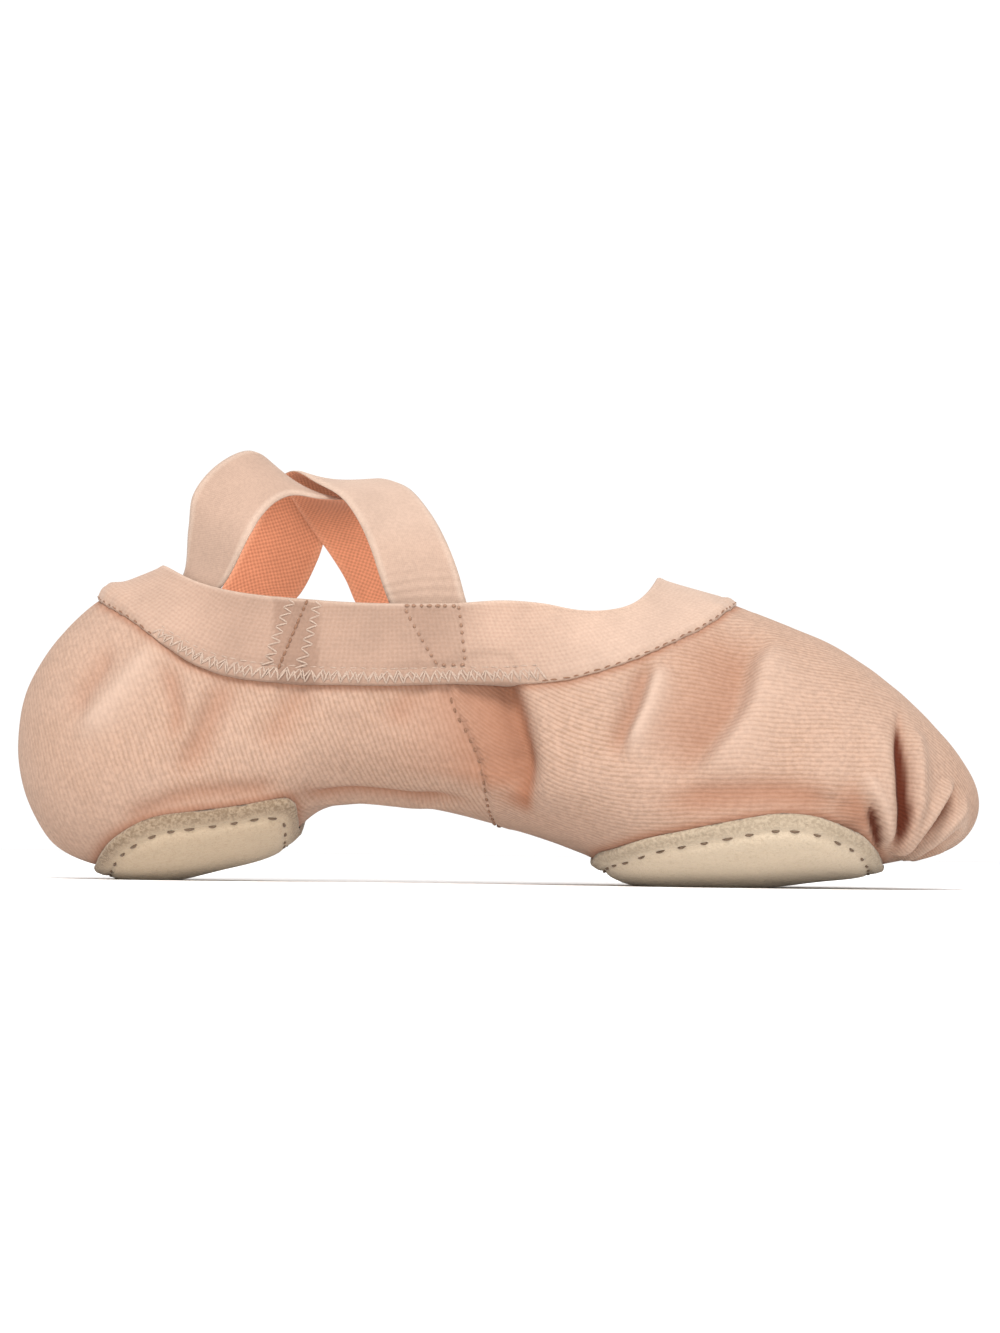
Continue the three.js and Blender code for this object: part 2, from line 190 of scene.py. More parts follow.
def facing_out(points: Array, faces: Faces) -> Faces:
    """The faces of a closed skin, turned over where they face inwards."""
    corners = np.array([face[:3] for face in faces if len(face) < 5])
    a, b, c = ((points - points.mean(0))[corners[:, k]] for k in range(3))
    return [face[::-1] for face in faces] if np.sum(a * np.cross(b, c)) < 0 else faces


def prune(faces: Faces) -> tuple[Array, Faces]:
    """Numbers of the points that faces use, and the faces over those points alone."""
    used = np.unique(np.concatenate([np.ravel(face) for face in faces]))
    renumber = np.zeros(used[-1] + 1, int)
    renumber[used] = np.arange(len(used))
    return used, [tuple(renumber[list(face)].tolist()) for face in faces]


def tube_faces(loops: Array, ring: bool) -> Faces:
    """Faces of a closed skin over loops of points, facing outwards.

    Args:
        loops: Loops of points, one after another.
        ring: Whether the last loop joins the first; otherwise both ends are capped.

    Returns:
        Faces over the points in reading order.
    """
    count, size = loops.shape[:2]
    index = np.arange(count * size).reshape(count, size)
    index = np.hstack([index, index[:, :1]])
    if ring:
        index = np.vstack([index, index[:1]])
    faces = skin(index)
    if not ring:
        first = tuple(index[0, :-1].tolist())
        last = tuple(index[-1, :-1].tolist())
        faces += [first, last[::-1]]
    return facing_out(loops.reshape(-1, 3), faces)


@dataclass
class Piece:
    """One piece of the slipper as points, faces and what its finish reads."""

    name: str
    points: Array
    faces: Faces
    slot: Slot
    materials: list[Material]
    stands_for: tuple[str, ...] = ()
    marks: dict[str, Array] = field(default_factory=dict)
    maps: dict[str, Array] = field(default_factory=dict)
    face_finish: Array | None = None

    def make(self) -> None:
        """Makes the mesh, hangs it on the frame and reports it."""
        mesh = bpy.data.meshes.new(self.name)
        mesh.from_pydata((self.points.reshape(-1, 3) * MM).tolist(), [], self.faces)
        mesh.polygons.foreach_set("use_smooth", np.ones(len(mesh.polygons), bool))
        for name, values in self.marks.items():
            layer = mesh.attributes.new(name, "FLOAT", "POINT")
            layer.data.foreach_set("value", np.asarray(values, np.float32).ravel())
        corner = np.zeros(len(mesh.loops), np.int32)
        mesh.loops.foreach_get("vertex_index", corner)
        for name, places in self.maps.items():
            layer = mesh.uv_layers.new(name=name)
            layer.data.foreach_set("uv", places.reshape(-1, 2)[corner].astype(np.float32).ravel())
        for material in self.materials:
            mesh.materials.append(material)
        if self.face_finish is not None:
            mesh.polygons.foreach_set("material_index", self.face_finish.astype(np.int32))
        mesh.update()
        piece = bpy.data.objects.new(self.name, mesh)
        bpy.context.scene.collection.objects.link(piece)
        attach(piece, "root")
        if self.stands_for:
            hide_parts(*self.stands_for)
        triangles = sum(len(face) - 2 for face in self.faces)
        LOG.info("%s: %d triangles", self.name, triangles)


# The last and what is drawn on it


@dataclass(frozen=True)
class Last:
    """The form that the slipper is pulled over, as sections along its length.

    Each row gives its place as a share of the length, three heights as shares of the instep's
    height (sole, widest line, crown) and a half width as a share of half the ball's width.
    """

    length: float = 235.0
    ball_width: float = 71.0
    instep: float = 76.0
    upper_fullness: float = 2.05
    lower_fullness: float = 2.1
    rows: Rows = (
        (0, 0.44, 0.44, 0.44, 0), (0.0064, 0.295, 0.434, 0.587, 0.211),
        (0.023, 0.172, 0.421, 0.704, 0.389), (0.0417, 0.101, 0.408, 0.785, 0.513),
        (0.0834, 0.043, 0.395, 0.901, 0.662), (0.146, 0.02, 0.395, 0.99, 0.746),
        (0.213, 0.064, 0.434, 1.09, 0.749), (0.268, 0.118, 0.49, 1.15, 0.73),
        (0.319, 0.235, 0.55, 1.185, 0.704), (0.391, 0.256, 0.579, 1.21, 0.69),
        (0.5, 0.188, 0.5, 1.197, 0.761), (0.583, 0.108, 0.408, 1.118, 0.859),
        (0.634, 0.038, 0.355, 1.028, 0.93), (0.666, 0.02, 0.336, 0.972, 0.965),
        (0.749, 0.02, 0.316, 0.898, 1), (0.834, 0.05, 0.296, 0.801, 0.963),
        (0.875, 0.064, 0.292, 0.729, 0.887), (0.917, 0.088, 0.289, 0.634, 0.761),
        (0.957, 0.112, 0.283, 0.512, 0.549), (0.9855, 0.166, 0.276, 0.395, 0.31),
        (1, 0.272, 0.272, 0.272, 0),
    )

    def turn(self, at: Array) -> Array:
        """The share of a half turn from heel to toe that belongs to a share of the length."""
        return np.arccos(1 - 2 * np.asarray(at, float)) / np.pi

    def at(self, turn: Array) -> Array:
        """The share of the length that belongs to a share of a half turn."""
        return (1 - np.cos(np.pi * np.asarray(turn, float))) / 2

    def section(self, turn: Array) -> tuple[Array, ...]:
        """The section at a place along the last.

        Args:
            turn: Place as a share of a half turn.

        Returns:
            Its place along X, sole, widest and crown heights and half width, in millimetres.
        """
        table = np.array(self.rows)
        knots = self.turn(table[:, 0])
        along = self.length * (self.at(turn) - 0.5)
        scales = (self.instep, self.instep, self.instep, self.ball_width / 2)
        read = [read_rows(knots, table[:, k + 1], turn) * s for k, s in enumerate(scales)]
        return (along, *read)

    def point(self, turn: Array, angle: Array) -> Array:
        """A point on the last, by its section and its angle from the crown."""
        turn, angle = np.broadcast_arrays(np.asarray(turn, float), np.asarray(angle, float))
        along, sole, widest, crown, half = self.section(turn)
        high = np.cos(angle) >= 0
        exponent = np.where(high, 2 / self.upper_fullness, 2 / self.lower_fullness)
        reach = np.where(high, crown - widest, widest - sole)
        out = half * signed_power(np.sin(angle), exponent)
        return np.stack([along, out, widest + reach * signed_power(np.cos(angle), exponent)], -1)

    def normal(self, turn: Array, angle: Array) -> Array:
        """Outward direction at a place on the last."""
        step = 0.004
        along = self.point(turn + step, angle) - self.point(turn - step, angle)
        round_ = self.point(turn, angle + step) - self.point(turn, angle - step)
        return unit(np.cross(along, round_))

    def beside(self, turn: Array, angle: Array, distance: Array) -> Array:
        """A point at a distance outside the last, or inside it where that is negative."""
        return self.point(turn, angle) + self.normal(turn, angle) * np.asarray(distance)[..., None]

    def angle_at(self, turn: Array, height: Array) -> Array:
        """Angle from the crown at which a section stands at a height, 0 at or over the crown."""
        _, sole, widest, crown, _ = self.section(turn)
        high = height >= widest
        reach = np.where(high, crown - widest, widest - sole)
        share = np.clip((height - widest) / np.maximum(reach, 1e-6), -1, 1)
        power = np.where(high, self.upper_fullness, self.lower_fullness) / 2
        return np.arccos(signed_power(share, power))

    def girth(self, turn: Array, angle: Array) -> Array:
        """Length round the section up from its widest line.

        Args:
            turn: Places along the last.
            angle: Angles from the crown, on either side.

        Returns:
            Lengths in millimetres, negative below the widest line.
        """
        turns = np.linspace(0.002, 0.998, 160)
        angles = np.linspace(0, np.pi, 121)
        grid = self.point(turns[:, None], angles[None, :])
        steps = np.linalg.norm(np.diff(grid, axis=1), axis=-1)
        lengths = np.hstack([np.zeros((len(turns), 1)), np.cumsum(steps, 1)])
        lengths = lengths[:, len(angles) // 2, None] - lengths
        i = np.clip((turn - turns[0]) / (turns[1] - turns[0]), 0, len(turns) - 1.001)
        wrapped = np.abs((np.asarray(angle) + np.pi) % (2 * np.pi) - np.pi)
        j = np.clip(wrapped / (angles[1] - angles[0]), 0, len(angles) - 1.001)
        row, column = i.astype(int), j.astype(int)
        u, v = i - row, j - column
        low = lengths[row, column] * (1 - v) + lengths[row, column + 1] * v
        high = lengths[row + 1, column] * (1 - v) + lengths[row + 1, column + 1] * v
        return low * (1 - u) + high * u

    def side_length(self, turn: Array) -> Array:
        """Length along the widest line from the middle of the slipper to a place."""
        turns = np.linspace(0, 1, 401)
        lengths = arc_lengths(self.point(turns, np.full(401, np.pi / 2)))
        return np.interp(turn, turns, lengths) - np.interp(0.5, turns, lengths)


@dataclass(frozen=True)
class BandPath:
    """Where the elastic band lies on the last, by its sewn and its free edge in the side view."""

    last: Last
    sewn: Rows = (
        (0.06, 0.955), (0.08, 0.896), (0.125, 0.812), (0.1625, 0.726), (0.198, 0.663),
        (0.2495, 0.625), (0.3495, 0.614), (0.45, 0.623), (0.55, 0.629), (0.6, 0.664),
        (0.65, 0.724), (0.702, 0.811), (0.745, 0.9), (0.77, 0.96),
    )
    free: Rows = (
        (0.14, 1.03), (0.154, 0.992), (0.1945, 0.931), (0.2475, 0.897), (0.349, 0.874),
        (0.45, 0.875), (0.5, 0.885), (0.5405, 0.876), (0.58, 0.853), (0.61, 0.856),
        (0.6335, 0.88), (0.65, 0.928), (0.667, 1.01),
    )

    def edge(self, rows: Rows, around: Array) -> tuple[Array, Array]:
        """Place of one edge round the collar.

        Args:
            rows: The edge's table.
            around: Angle round the collar from the throat, positive on the far side.

        Returns:
            The turn along the last and the angle from the crown.
        """
        table = np.array(rows)

        def height(at: Array) -> Array:
            """Height of the edge in millimetres."""
            return self.last.instep * read_rows(table[:, 0], table[:, 1], at)

        def meet(outside: float, inside: float) -> float:
            """Where the edge meets the crown."""
            for _ in range(40):
                middle = (outside + inside) / 2
                if self.last.section(self.last.turn(middle))[3] > height(middle):
                    inside = middle
                else:
                    outside = middle
            return inside

        centre = (table[0, 0] + table[-1, 0]) / 2
        back, front = meet(table[0, 0], centre), meet(table[-1, 0], centre)
        at = (front + back) / 2 + (front - back) / 2 * np.cos(around)
        turn = self.last.turn(at)
        _, _, widest, crown, _ = self.last.section(turn)
        rise = (height(at) - widest) / (crown - widest)
        upright = np.minimum(signed_power(rise, self.last.upper_fullness / 2), 1)
        return turn, np.arccos(upright) * np.sign(np.sin(around))

    def spot(self, around: Array, across: Array) -> tuple[Array, Array]:
        """Turn and angle of a place on the band, from its sewn edge (0) to its free edge (1)."""
        low = self.edge(self.sewn, around)
        high = self.edge(self.free, around)
        return tuple(a + (b - a) * across for a, b in zip(low, high))

    def on(self, around: Array, across: Array, distance: Array) -> Array:
        """A point on the band at a distance from the last."""
        around, across, distance = np.broadcast_arrays(around, across, distance)
        turn, angle = self.spot(around, across)
        return self.last.beside(turn, angle, distance)

    def around_at(self, at: Array, side: Side, across: float) -> Array:
        """Angle round the collar of a place along the last, on one side."""
        angles = np.linspace(0.002, np.pi - 0.002, 721)
        places = self.last.at(self.spot(angles, across)[0])
        return np.interp(at, places[::-1], angles[::-1]) * side.value


class FoldLine:
    """A line drawn on the last, that nearby points can measure themselves from."""

    def __init__(self, last: Last, places: Array, spacing: float = 0.8) -> None:
        """Lays the line on the last.

        Args:
            last: The form.
            places: Turns and angles along the line.
            spacing: Distance between samples in millimetres.
        """
        spots = centripetal(np.asarray(places, float), 24)
        points = last.point(spots[:, 0], spots[:, 1])
        arcs = arc_lengths(points)
        self.length = float(arcs[-1])
        count = max(int(self.length / spacing), 6)
        self.arcs = np.linspace(0, self.length, count)
        spots = at_lengths(spots, arcs, self.arcs)
        self.points = last.point(spots[:, 0], spots[:, 1])
        tangent = unit(np.gradient(self.points, axis=0))
        self.sides = unit(np.cross(tangent, last.normal(spots[:, 0], spots[:, 1])))

    def nearest(self, points: Array, reach: float) -> tuple[Array, ...]:
        """Measures points from the line.

        Args:
            points: Places in millimetres, one row each.
            reach: Points further off than this are passed over.

        Returns:
            Numbers of the points in reach, their distances, lengths along the line and the
            signed distance to one side of it.
        """
        low, high = self.points.min(0) - reach, self.points.max(0) + reach
        inside = np.nonzero(((points > low) & (points < high)).all(1))[0]
        picked = points[inside]
        best = np.zeros(len(inside), int)
        chunk = 4000
        for start in range(0, len(inside), chunk):
            some = picked[start:start + chunk]
            gaps = np.sum(self.points**2, 1) - 2 * some @ self.points.T
            best[start:start + chunk] = gaps.argmin(1)
        near = np.linalg.norm(picked - self.points[best], axis=-1)
        aside = np.einsum("ij,ij->i", picked - self.points[best], self.sides[best])
        keep = near < reach
        return inside[keep], near[keep], self.arcs[best][keep], aside[keep]


@dataclass(frozen=True)
class Crease:
    """A fold in the cloth along a line of places on the last.

    The line's places are thousandths of the length and degrees down from the crown. The breadths
    are those of the fold on its two sides, the first on the side of the heel. Fade is the share
    of the line over which each end dies away, and taper is how much narrower it gets there.
    The last three, from 0 to 1, are painted shade at the bottom of deep pleats, warm painted shade in soft
    folds and a painted highlight on ridges.
    """

    line: Rows
    lie: Lie
    relief: float
    breadth: Pair
    fade: float = 0.3
    taper: float = 0.0
    # Painted shade in pleats, warm painted shade in folds and a painted highlight on ridges.
    shade: float = 0.0
    warm: float = 0.0
    pale: float = 0.0

    def profile(self, last: Last, side: Side, points: Array) -> Array:
        """How much of the fold there is at each place.

        Args:
            last: The form.
            side: The side of the slipper that it is on.
            points: Places on the last.

        Returns:
            Shares from 0 to 1, one for each point.
        """
        places = np.array(self.line) / (1000, 1)
        spots = np.stack([last.turn(places[:, 0]), np.radians(places[:, 1]) * side.value], -1)
        line = FoldLine(last, spots)
        picked, near, arcs, aside = line.nearest(points, 3.2 * max(self.breadth))
        heelward = aside * side.value < 0
        ends = ease(np.minimum(arcs, line.length - arcs) / (self.fade * line.length))
        breadth = np.where(heelward, *self.breadth) * (1 - self.taper * (1 - ends))
        shares = np.zeros(len(points))
        shares[picked] = np.exp(-((near / breadth) ** 2)) * ends
        return shares


TROUGH, RIDGE = Lie.TROUGH, Lie.RIDGE

CREASES: tuple[Crease, ...] = (
    # The strip beside the seam, its hollow and the roll in front of it.
    Crease(((498, 70), (508, 79), (514, 83), (521, 89), (526, 101), (527, 114), (525, 130)), TROUGH, 3.0,
           (3.6, 1.8), 0.24),
    Crease(((480, 65), (492, 76), (503, 83), (512, 90), (519, 102), (521, 116), (518, 132)), TROUGH, 3.0,
           (12.0, 4.2), 0.25),
    Crease(((500, 66), (510, 79), (517, 83), (524, 89), (528.5, 101), (530, 114), (529.5, 128),
           (527, 148)), TROUGH, 0.3, (6.0, 1.4), 0.14, warm=1.0),
    Crease(((496, 66), (508, 79), (515, 84), (521, 91), (525, 104), (526, 120), (524, 140)), TROUGH, 0.2,
           (22.0, 2.4), 0.2, warm=0.88),
    Crease(((540, 75), (546, 86), (549, 95), (549, 115), (543, 140)), RIDGE, 1.5, (2.4, 7.0)),
    # Folds that fall from the throat.
    Crease(((655, 54), (650, 59), (637, 71), (624, 82), (614, 90)), TROUGH, 2.3, (3.2, 1.5), 0.28,
           warm=0.5),
    Crease(((666, 54), (659, 59), (650, 70), (638, 78), (624, 88)), RIDGE, 2.1, (1.5, 3.4), 0.28,
           pale=0.7),
    Crease(((776, 27), (760, 39), (750, 46), (745, 57), (737, 66), (711, 78), (685, 87), (664, 95)),
           TROUGH, 3.8, (9.6, 2.4), 0.25, warm=0.3),
    Crease(((766, 27), (752, 39), (744, 47), (738, 57), (729, 66), (704, 78), (680, 87), (662, 95)),
           TROUGH, 0.4, (15.0, 2.6), 0.3, warm=0.52),
    Crease(((790, 30), (772, 44), (760, 57), (748, 68), (723, 80), (690, 91)), RIDGE, 1.9, (2.4, 7.5),
           0.28, pale=0.3),
    Crease(((641, 108), (689, 99), (739, 94), (789, 92), (829, 97), (861, 112)), TROUGH, 1.7, (5.4, 3.4),
           warm=0.68),
    # Pleats that run together at the front of the forefoot patch.
    Crease(((908, 36), (905, 50), (904, 65), (905, 78), (906, 89), (907, 102), (904, 120), (899, 136),
           (894, 152)), TROUGH, 2.6, (2.1, 1.8), 0.4, 0.62, shade=1.0, warm=0.9),
    Crease(((887, 54), (886, 64), (887, 76), (889, 90), (892, 104), (892, 124), (889, 142)), RIDGE, 1.1,
           (4.0, 2.4), 0.25, pale=0.2),
    Crease(((923, 46), (920, 62), (919, 78), (919, 90), (914, 108), (905, 130), (898, 150)), RIDGE, 2.4,
           (1.5, 3.4), 0.22, pale=0.1),
    Crease(((866, 86), (871, 94), (875, 104), (879, 117), (883, 132), (888, 148)), TROUGH, 2.0,
           (1.2, 0.95), 0.45, 0.5, shade=0.95, warm=0.9),
    Crease(((842, 82), (854, 92), (864, 103), (871, 116), (878, 134)), TROUGH, 2.4, (9.5, 2.4), 0.4,
           warm=0.72),
    Crease(((850, 84), (860, 97), (867, 112), (873, 128)), RIDGE, 1.0, (3.0, 1.5), 0.25),
    Crease(((862, 79), (870, 86), (879, 94), (886, 108), (892, 130)), RIDGE, 1.7, (1.5, 2.0), 0.25,
           pale=0.45),
    Crease(((969, 74), (958, 91), (943, 112), (927, 129), (914, 143), (904, 162)), TROUGH, 2.8,
           (1.7, 2.4), 0.3, 0.4, shade=0.6, warm=1.0),
    Crease(((963, 71), (951, 87), (936, 107), (920, 125), (904, 148)), RIDGE, 2.0, (1.9, 1.4), 0.2,
           pale=0.3),
    Crease(((982, 82), (967, 106), (951, 123), (931, 145), (912, 168)), RIDGE, 1.7, (1.5, 2.4), 0.2,
           pale=0.4),
    Crease(((978, 122), (954, 143), (924, 160), (909, 170)), TROUGH, 1.7, (1.3, 1.3), 0.2, warm=0.5),
    Crease(((966, 148), (944, 158), (918, 168)), RIDGE, 1.0, (1.7, 1.7), 0.25),
    Crease(((988, 108), (974, 122), (957, 134), (936, 148)), RIDGE, 0.3, (3.0, 4.5), pale=0.6),
    Crease(((972, 168), (948, 171), (916, 174)), TROUGH, 1.3, (1.3, 1.3), 0.25, warm=0.5),
    # Soft folds round the heel and along the side.
    Crease(((160, 52), (142, 60), (116, 70), (91, 80), (72, 89)), RIDGE, 1.9, (2.8, 4.2), pale=0.5),
    Crease(((106, 47), (95, 60), (80, 67), (71, 80)), TROUGH, 1.6, (3.6, 2.4), warm=0.3),
    Crease(((160, 60), (168, 69), (175, 77), (177, 81), (170, 90)), TROUGH, 1.4, (2.2, 2.2), warm=0.4),
    Crease(((232, 70), (221, 77), (209, 83), (200, 88), (191, 94), (174, 106)), TROUGH, 1.9, (3.0, 3.6),
           warm=0.42),
    Crease(((200, 68), (190, 76), (182, 84), (170, 94)), RIDGE, 1.1, (3.0, 3.0)),
    Crease(((308, 77), (298, 84), (281, 91), (258, 102)), TROUGH, 1.5, (3.4, 4.2), warm=0.3),
    Crease(((362, 77), (349, 88), (334, 103)), RIDGE, 1.0, (5.0, 5.0)),
    Crease(((426, 77), (413, 86), (403, 93), (389, 112)), TROUGH, 1.4, (4.0, 6.0), warm=0.42),
    # The turn under the arch and the hollow over the heel patch.
    Crease(((280, 126), (299, 137), (337, 154), (399, 158), (450, 149), (486, 146)), TROUGH, 1.6,
           (2.0, 2.4), warm=0.7),
    Crease(((294, 146), (347, 168), (399, 172), (440, 162), (484, 160)), RIDGE, 1.0, (2.4, 2.4)),
    Crease(((117, 132), (149, 117), (190, 113), (239, 117), (290, 126)), TROUGH, 1.0, (2.8, 2.8), 0.2,
           warm=0.45),
)


@dataclass(frozen=True)
class Relief:
    """The lie of the slipper's cloth: folds, pleats, the seam across the middle and slow swells.

    The seam's rows are shares of the slipper's length and of the instep's height. It lies flat
    below a height under the arch.
    """

    last: Last
    band: BandPath
    creases: tuple[Crease, ...] = CREASES
    seam: Rows = ((0.452, 0.601), (0.4675, 0.485), (0.4845, 0.352), (0.498, 0.199), (0.506, 0.08))
    seam_under: float = 0.508
    seam_middle: float = 0.482
    seam_roll: Swell = Swell(0.85, 0.8, 1.2)
    seam_groove: Swell = Swell(0.75, -0.9, 0.7)
    seam_flat: float = 17.0
    swell: float = 0.32
    pucker: float = 0.22
    pucker_pitch: float = 6.1
    far_share: float = 0.85

    def seam_line(self, side: Side) -> FoldLine:
        """The seam across the middle, on one side, from the band to under the arch."""
        table = np.array(self.seam)
        turn = self.last.turn(table[:, 0])
        angle = self.last.angle_at(turn, table[:, 1] * self.last.instep)
        spots = np.stack([turn, angle], -1)
        spots = np.vstack([spots, [self.last.turn(self.seam_under), np.pi]])
        return FoldLine(self.last, spots * [1, side.value])

    def seam_offset(self, points: Array) -> Array:
        """Signed distance from the middle seam, negative towards the heel."""
        middle = self.last.length * (self.seam_middle - 0.5)
        offset = np.where(points[:, 0] > middle, 40.0, -40.0)
        for side in Side:
            picked, near, _, aside = self.seam_line(side).nearest(points, 16)
            own = points[picked, 1] * side.value >= 0
            offset[picked[own]] = (np.sign(aside * side.value) * near)[own]
        return offset

    def edge_line(self) -> FoldLine:
        """The band's sewn edge all round the collar."""
        around = np.linspace(0, 2 * np.pi, 181)
        turn, angle = self.band.edge(self.band.sewn, around)
        return FoldLine(self.last, np.stack([turn, angle], -1), 0.9)

    def heights(self, points: Array) -> Array:
        """How far the cloth stands off the last.

        Args:
            points: Places on the last, one row each.

        Returns:
            Heights in millimetres.
        """
        total = self.swell * wander(points, 17, 3.7) + 0.4 * self.swell * wander(points, 7, 9.1)
        for crease in self.creases:
            for side, share in ((Side.NEAR, 1.0), (Side.FAR, self.far_share)):
                depth = share * crease.relief * crease.lie.value
                total += depth * crease.profile(self.last, side, points)
        offset = self.seam_offset(points)
        seam = self.seam_roll.over(offset) - self.seam_groove.over(offset)
        total += seam * (0.25 + 0.75 * ease((points[:, 2] - self.seam_flat) / 8))
        edge = self.edge_line()
        picked, near, arcs, _ = edge.nearest(points, 14)
        turns = 2 * np.pi * arcs / edge.length
        ripple = np.sin(turns * round(edge.length / self.pucker_pitch) + 2.2 * np.sin(turns * 9))
        total[picked] += self.pucker * ripple * np.exp(-near / 5)
        return total

    def tones(self, points: Array) -> tuple[Array, ...]:
        """Painted shade at the bottom of pleats, warm painted shade in folds and a painted highlight on
        ridges, each from 0 to 1.
        """
        dark, warm, pale = np.zeros((3, len(points)))
        for crease in self.creases:
            for side in Side:
                if crease.shade or crease.warm or crease.pale:
                    share = crease.profile(self.last, side, points)
                    dark = np.maximum(dark, crease.shade * ease(2.2 * share - 0.55))
                    warm = np.maximum(warm, crease.warm * share)
                    pale = np.maximum(pale, crease.pale * share)
        return dark, warm, pale


# Node trees


class Graph:
    """A node tree that is being wired."""

    def __init__(self, tree: Tree) -> None:
        """Takes the tree to wire."""
        self.tree = tree

    def node(self, kind: str, **settings: object) -> Node:
        """Adds a node and sets its properties."""
        node = self.tree.nodes.new(kind)
        for name, value in settings.items():
            setattr(node, name, value)
        return node

    def feed(self, socket: Socket, value: object) -> None:
        """Links a socket to another one, or sets it to a number or colour.

        Args:
            socket: The socket to feed.
            value: Another socket, a number or a colour.
        """
        if isinstance(value, Socket):
            self.tree.links.new(value, socket)
        elif isinstance(value, tuple) and len(value) == 3 and socket.type == "RGBA":
            socket.default_value = (*value, 1.0)
        else:
            socket.default_value = value

    def make(
        self, kind: str, values: dict[int | str, object], output: int | str, **settings: object,
    ) -> Socket:
        """Adds a node, feeds its inputs and gives one of its outputs.

        Args:
            kind: The node's kind.
            values: What its inputs get, by number or name.
            output: The output's number or name.
            **settings: The node's properties.

        Returns:
            The output.
        """
        node = self.node(kind, **settings)
        for key, value in values.items():
            self.feed(node.inputs[key], value)
        return node.outputs[output]

    def math(self, operation: str, *values: object) -> Socket:
        """What an operation makes of numbers or sockets."""
        return self.make("ShaderNodeMath", dict(enumerate(values)), 0, operation=operation)

    def times(self, first: object, second: object) -> Socket:
        """The product of two values."""
        return self.math("MULTIPLY", first, second)

    def plus(self, first: object, second: object) -> Socket:
        """The sum of two values."""
        return self.math("ADD", first, second)

    def scaled(self, value: object, factor: float, start: float) -> Socket:
        """A value times a factor, counted from a start."""
        return self.math("MULTIPLY_ADD", value, factor, start)

    def between(self, factor: object, first: object, second: object) -> Socket:
        """A value between two values."""
        return self.make("ShaderNodeMix", {0: factor, 2: first, 3: second}, 0, data_type="FLOAT")

    def blend(self, factor: object, first: object, second: object, how: str = "MIX") -> Socket:
        """A colour made of two colours by a factor, mixed in one way."""
        settings = {"data_type": "RGBA", "blend_type": how, "clamp_factor": True}
        return self.make("ShaderNodeMix", {0: factor, 6: first, 7: second}, 2, **settings)

    def tint(self, colour: object, mask: object, share: float, other: Colour) -> Socket:
        """A colour that turns to another one by a share of a mask."""
        return self.blend(self.times(mask, share), colour, other)

    def ramp(self, value: object, low: float, high: float, start: float = 0.0, end: float = 1.0) -> Socket:
        """A smooth step from start to end while value runs from low to high."""
        values = dict(enumerate((value, low, high, start, end)))
        return self.make("ShaderNodeMapRange", values, 0, interpolation_type="SMOOTHSTEP")

    def speckle(
        self, vector: object, scale: object, detail: float = 2.0, rough: float = 0.5, flat: bool = False,
    ) -> Socket:
        """Noise between about 0 and 1, over a flat map or in space."""
        values = {"Vector": vector, "Scale": scale, "Detail": detail, "Roughness": rough}
        return self.make("ShaderNodeTexNoise", values, "Fac", noise_dimensions="2D" if flat else "3D")

    def mark(self, name: str) -> Socket:
        """A mark that the mesh carries."""
        return self.node("ShaderNodeAttribute", attribute_name=name).outputs["Fac"]

    def place(self, name: str) -> tuple[Socket, Socket]:
        """The two lengths of one of the mesh's cloth maps, in millimetres."""
        split = self.node("ShaderNodeSeparateXYZ")
        self.feed(split.inputs[0], self.node("ShaderNodeUVMap", uv_map=name).outputs[0])
        return split.outputs[0], split.outputs[1]

    def flat(self, first: object, second: object) -> Socket:
        """A vector from two lengths."""
        return self.make("ShaderNodeCombineXYZ", {0: first, 1: second}, 0)

    def use(self, group: Tree, output: str, **values: object) -> Socket:
        """Places a node group, feeds its inputs by name and gives one of its outputs."""
        named = {name.replace("_", " ").capitalize(): value for name, value in values.items()}
        return self.make("ShaderNodeGroup", named, output, node_tree=group)


class Group(Graph):
    """A node group with named inputs and outputs."""

    def __init__(self, name: str, inputs: dict[str, float | None], outputs: tuple[str, ...]) -> None:
        """Starts the group.

        Args:
            name: The group's name.
            inputs: Inputs and their values, None for a vector.
            outputs: Names of the outputs, all plain values.
        """
        super().__init__(bpy.data.node_groups.new(name, "ShaderNodeTree"))
        interface = self.tree.interface
        for label, value in inputs.items():
            kind = "NodeSocketVector" if value is None else "NodeSocketFloat"
            socket = interface.new_socket(name=label, in_out="INPUT", socket_type=kind)
            if value is not None:
                socket.default_value = value
        for label in outputs:
            interface.new_socket(name=label, in_out="OUTPUT", socket_type="NodeSocketFloat")
        self.given = list(self.node("NodeGroupInput").outputs)[:len(inputs)]
        self.results = self.node("NodeGroupOutput").inputs

    def drift(self, along: Socket, over: Socket, scale: float, waver: Socket) -> Socket:
        """A slow shift of the threads to either side."""
        slow = self.speckle(self.flat(along, over), scale, flat=True)
        return self.times(self.math("SUBTRACT", slow, 0.5), waver)

    def wave(self, length: Socket, drift: Socket, pitch: Socket) -> Socket:
        """A wave along a length that drifts, one for each pitch."""
        turns = self.math("DIVIDE", self.plus(length, drift), pitch)
        return self.math("SINE", self.times(turns, 2 * math.pi))


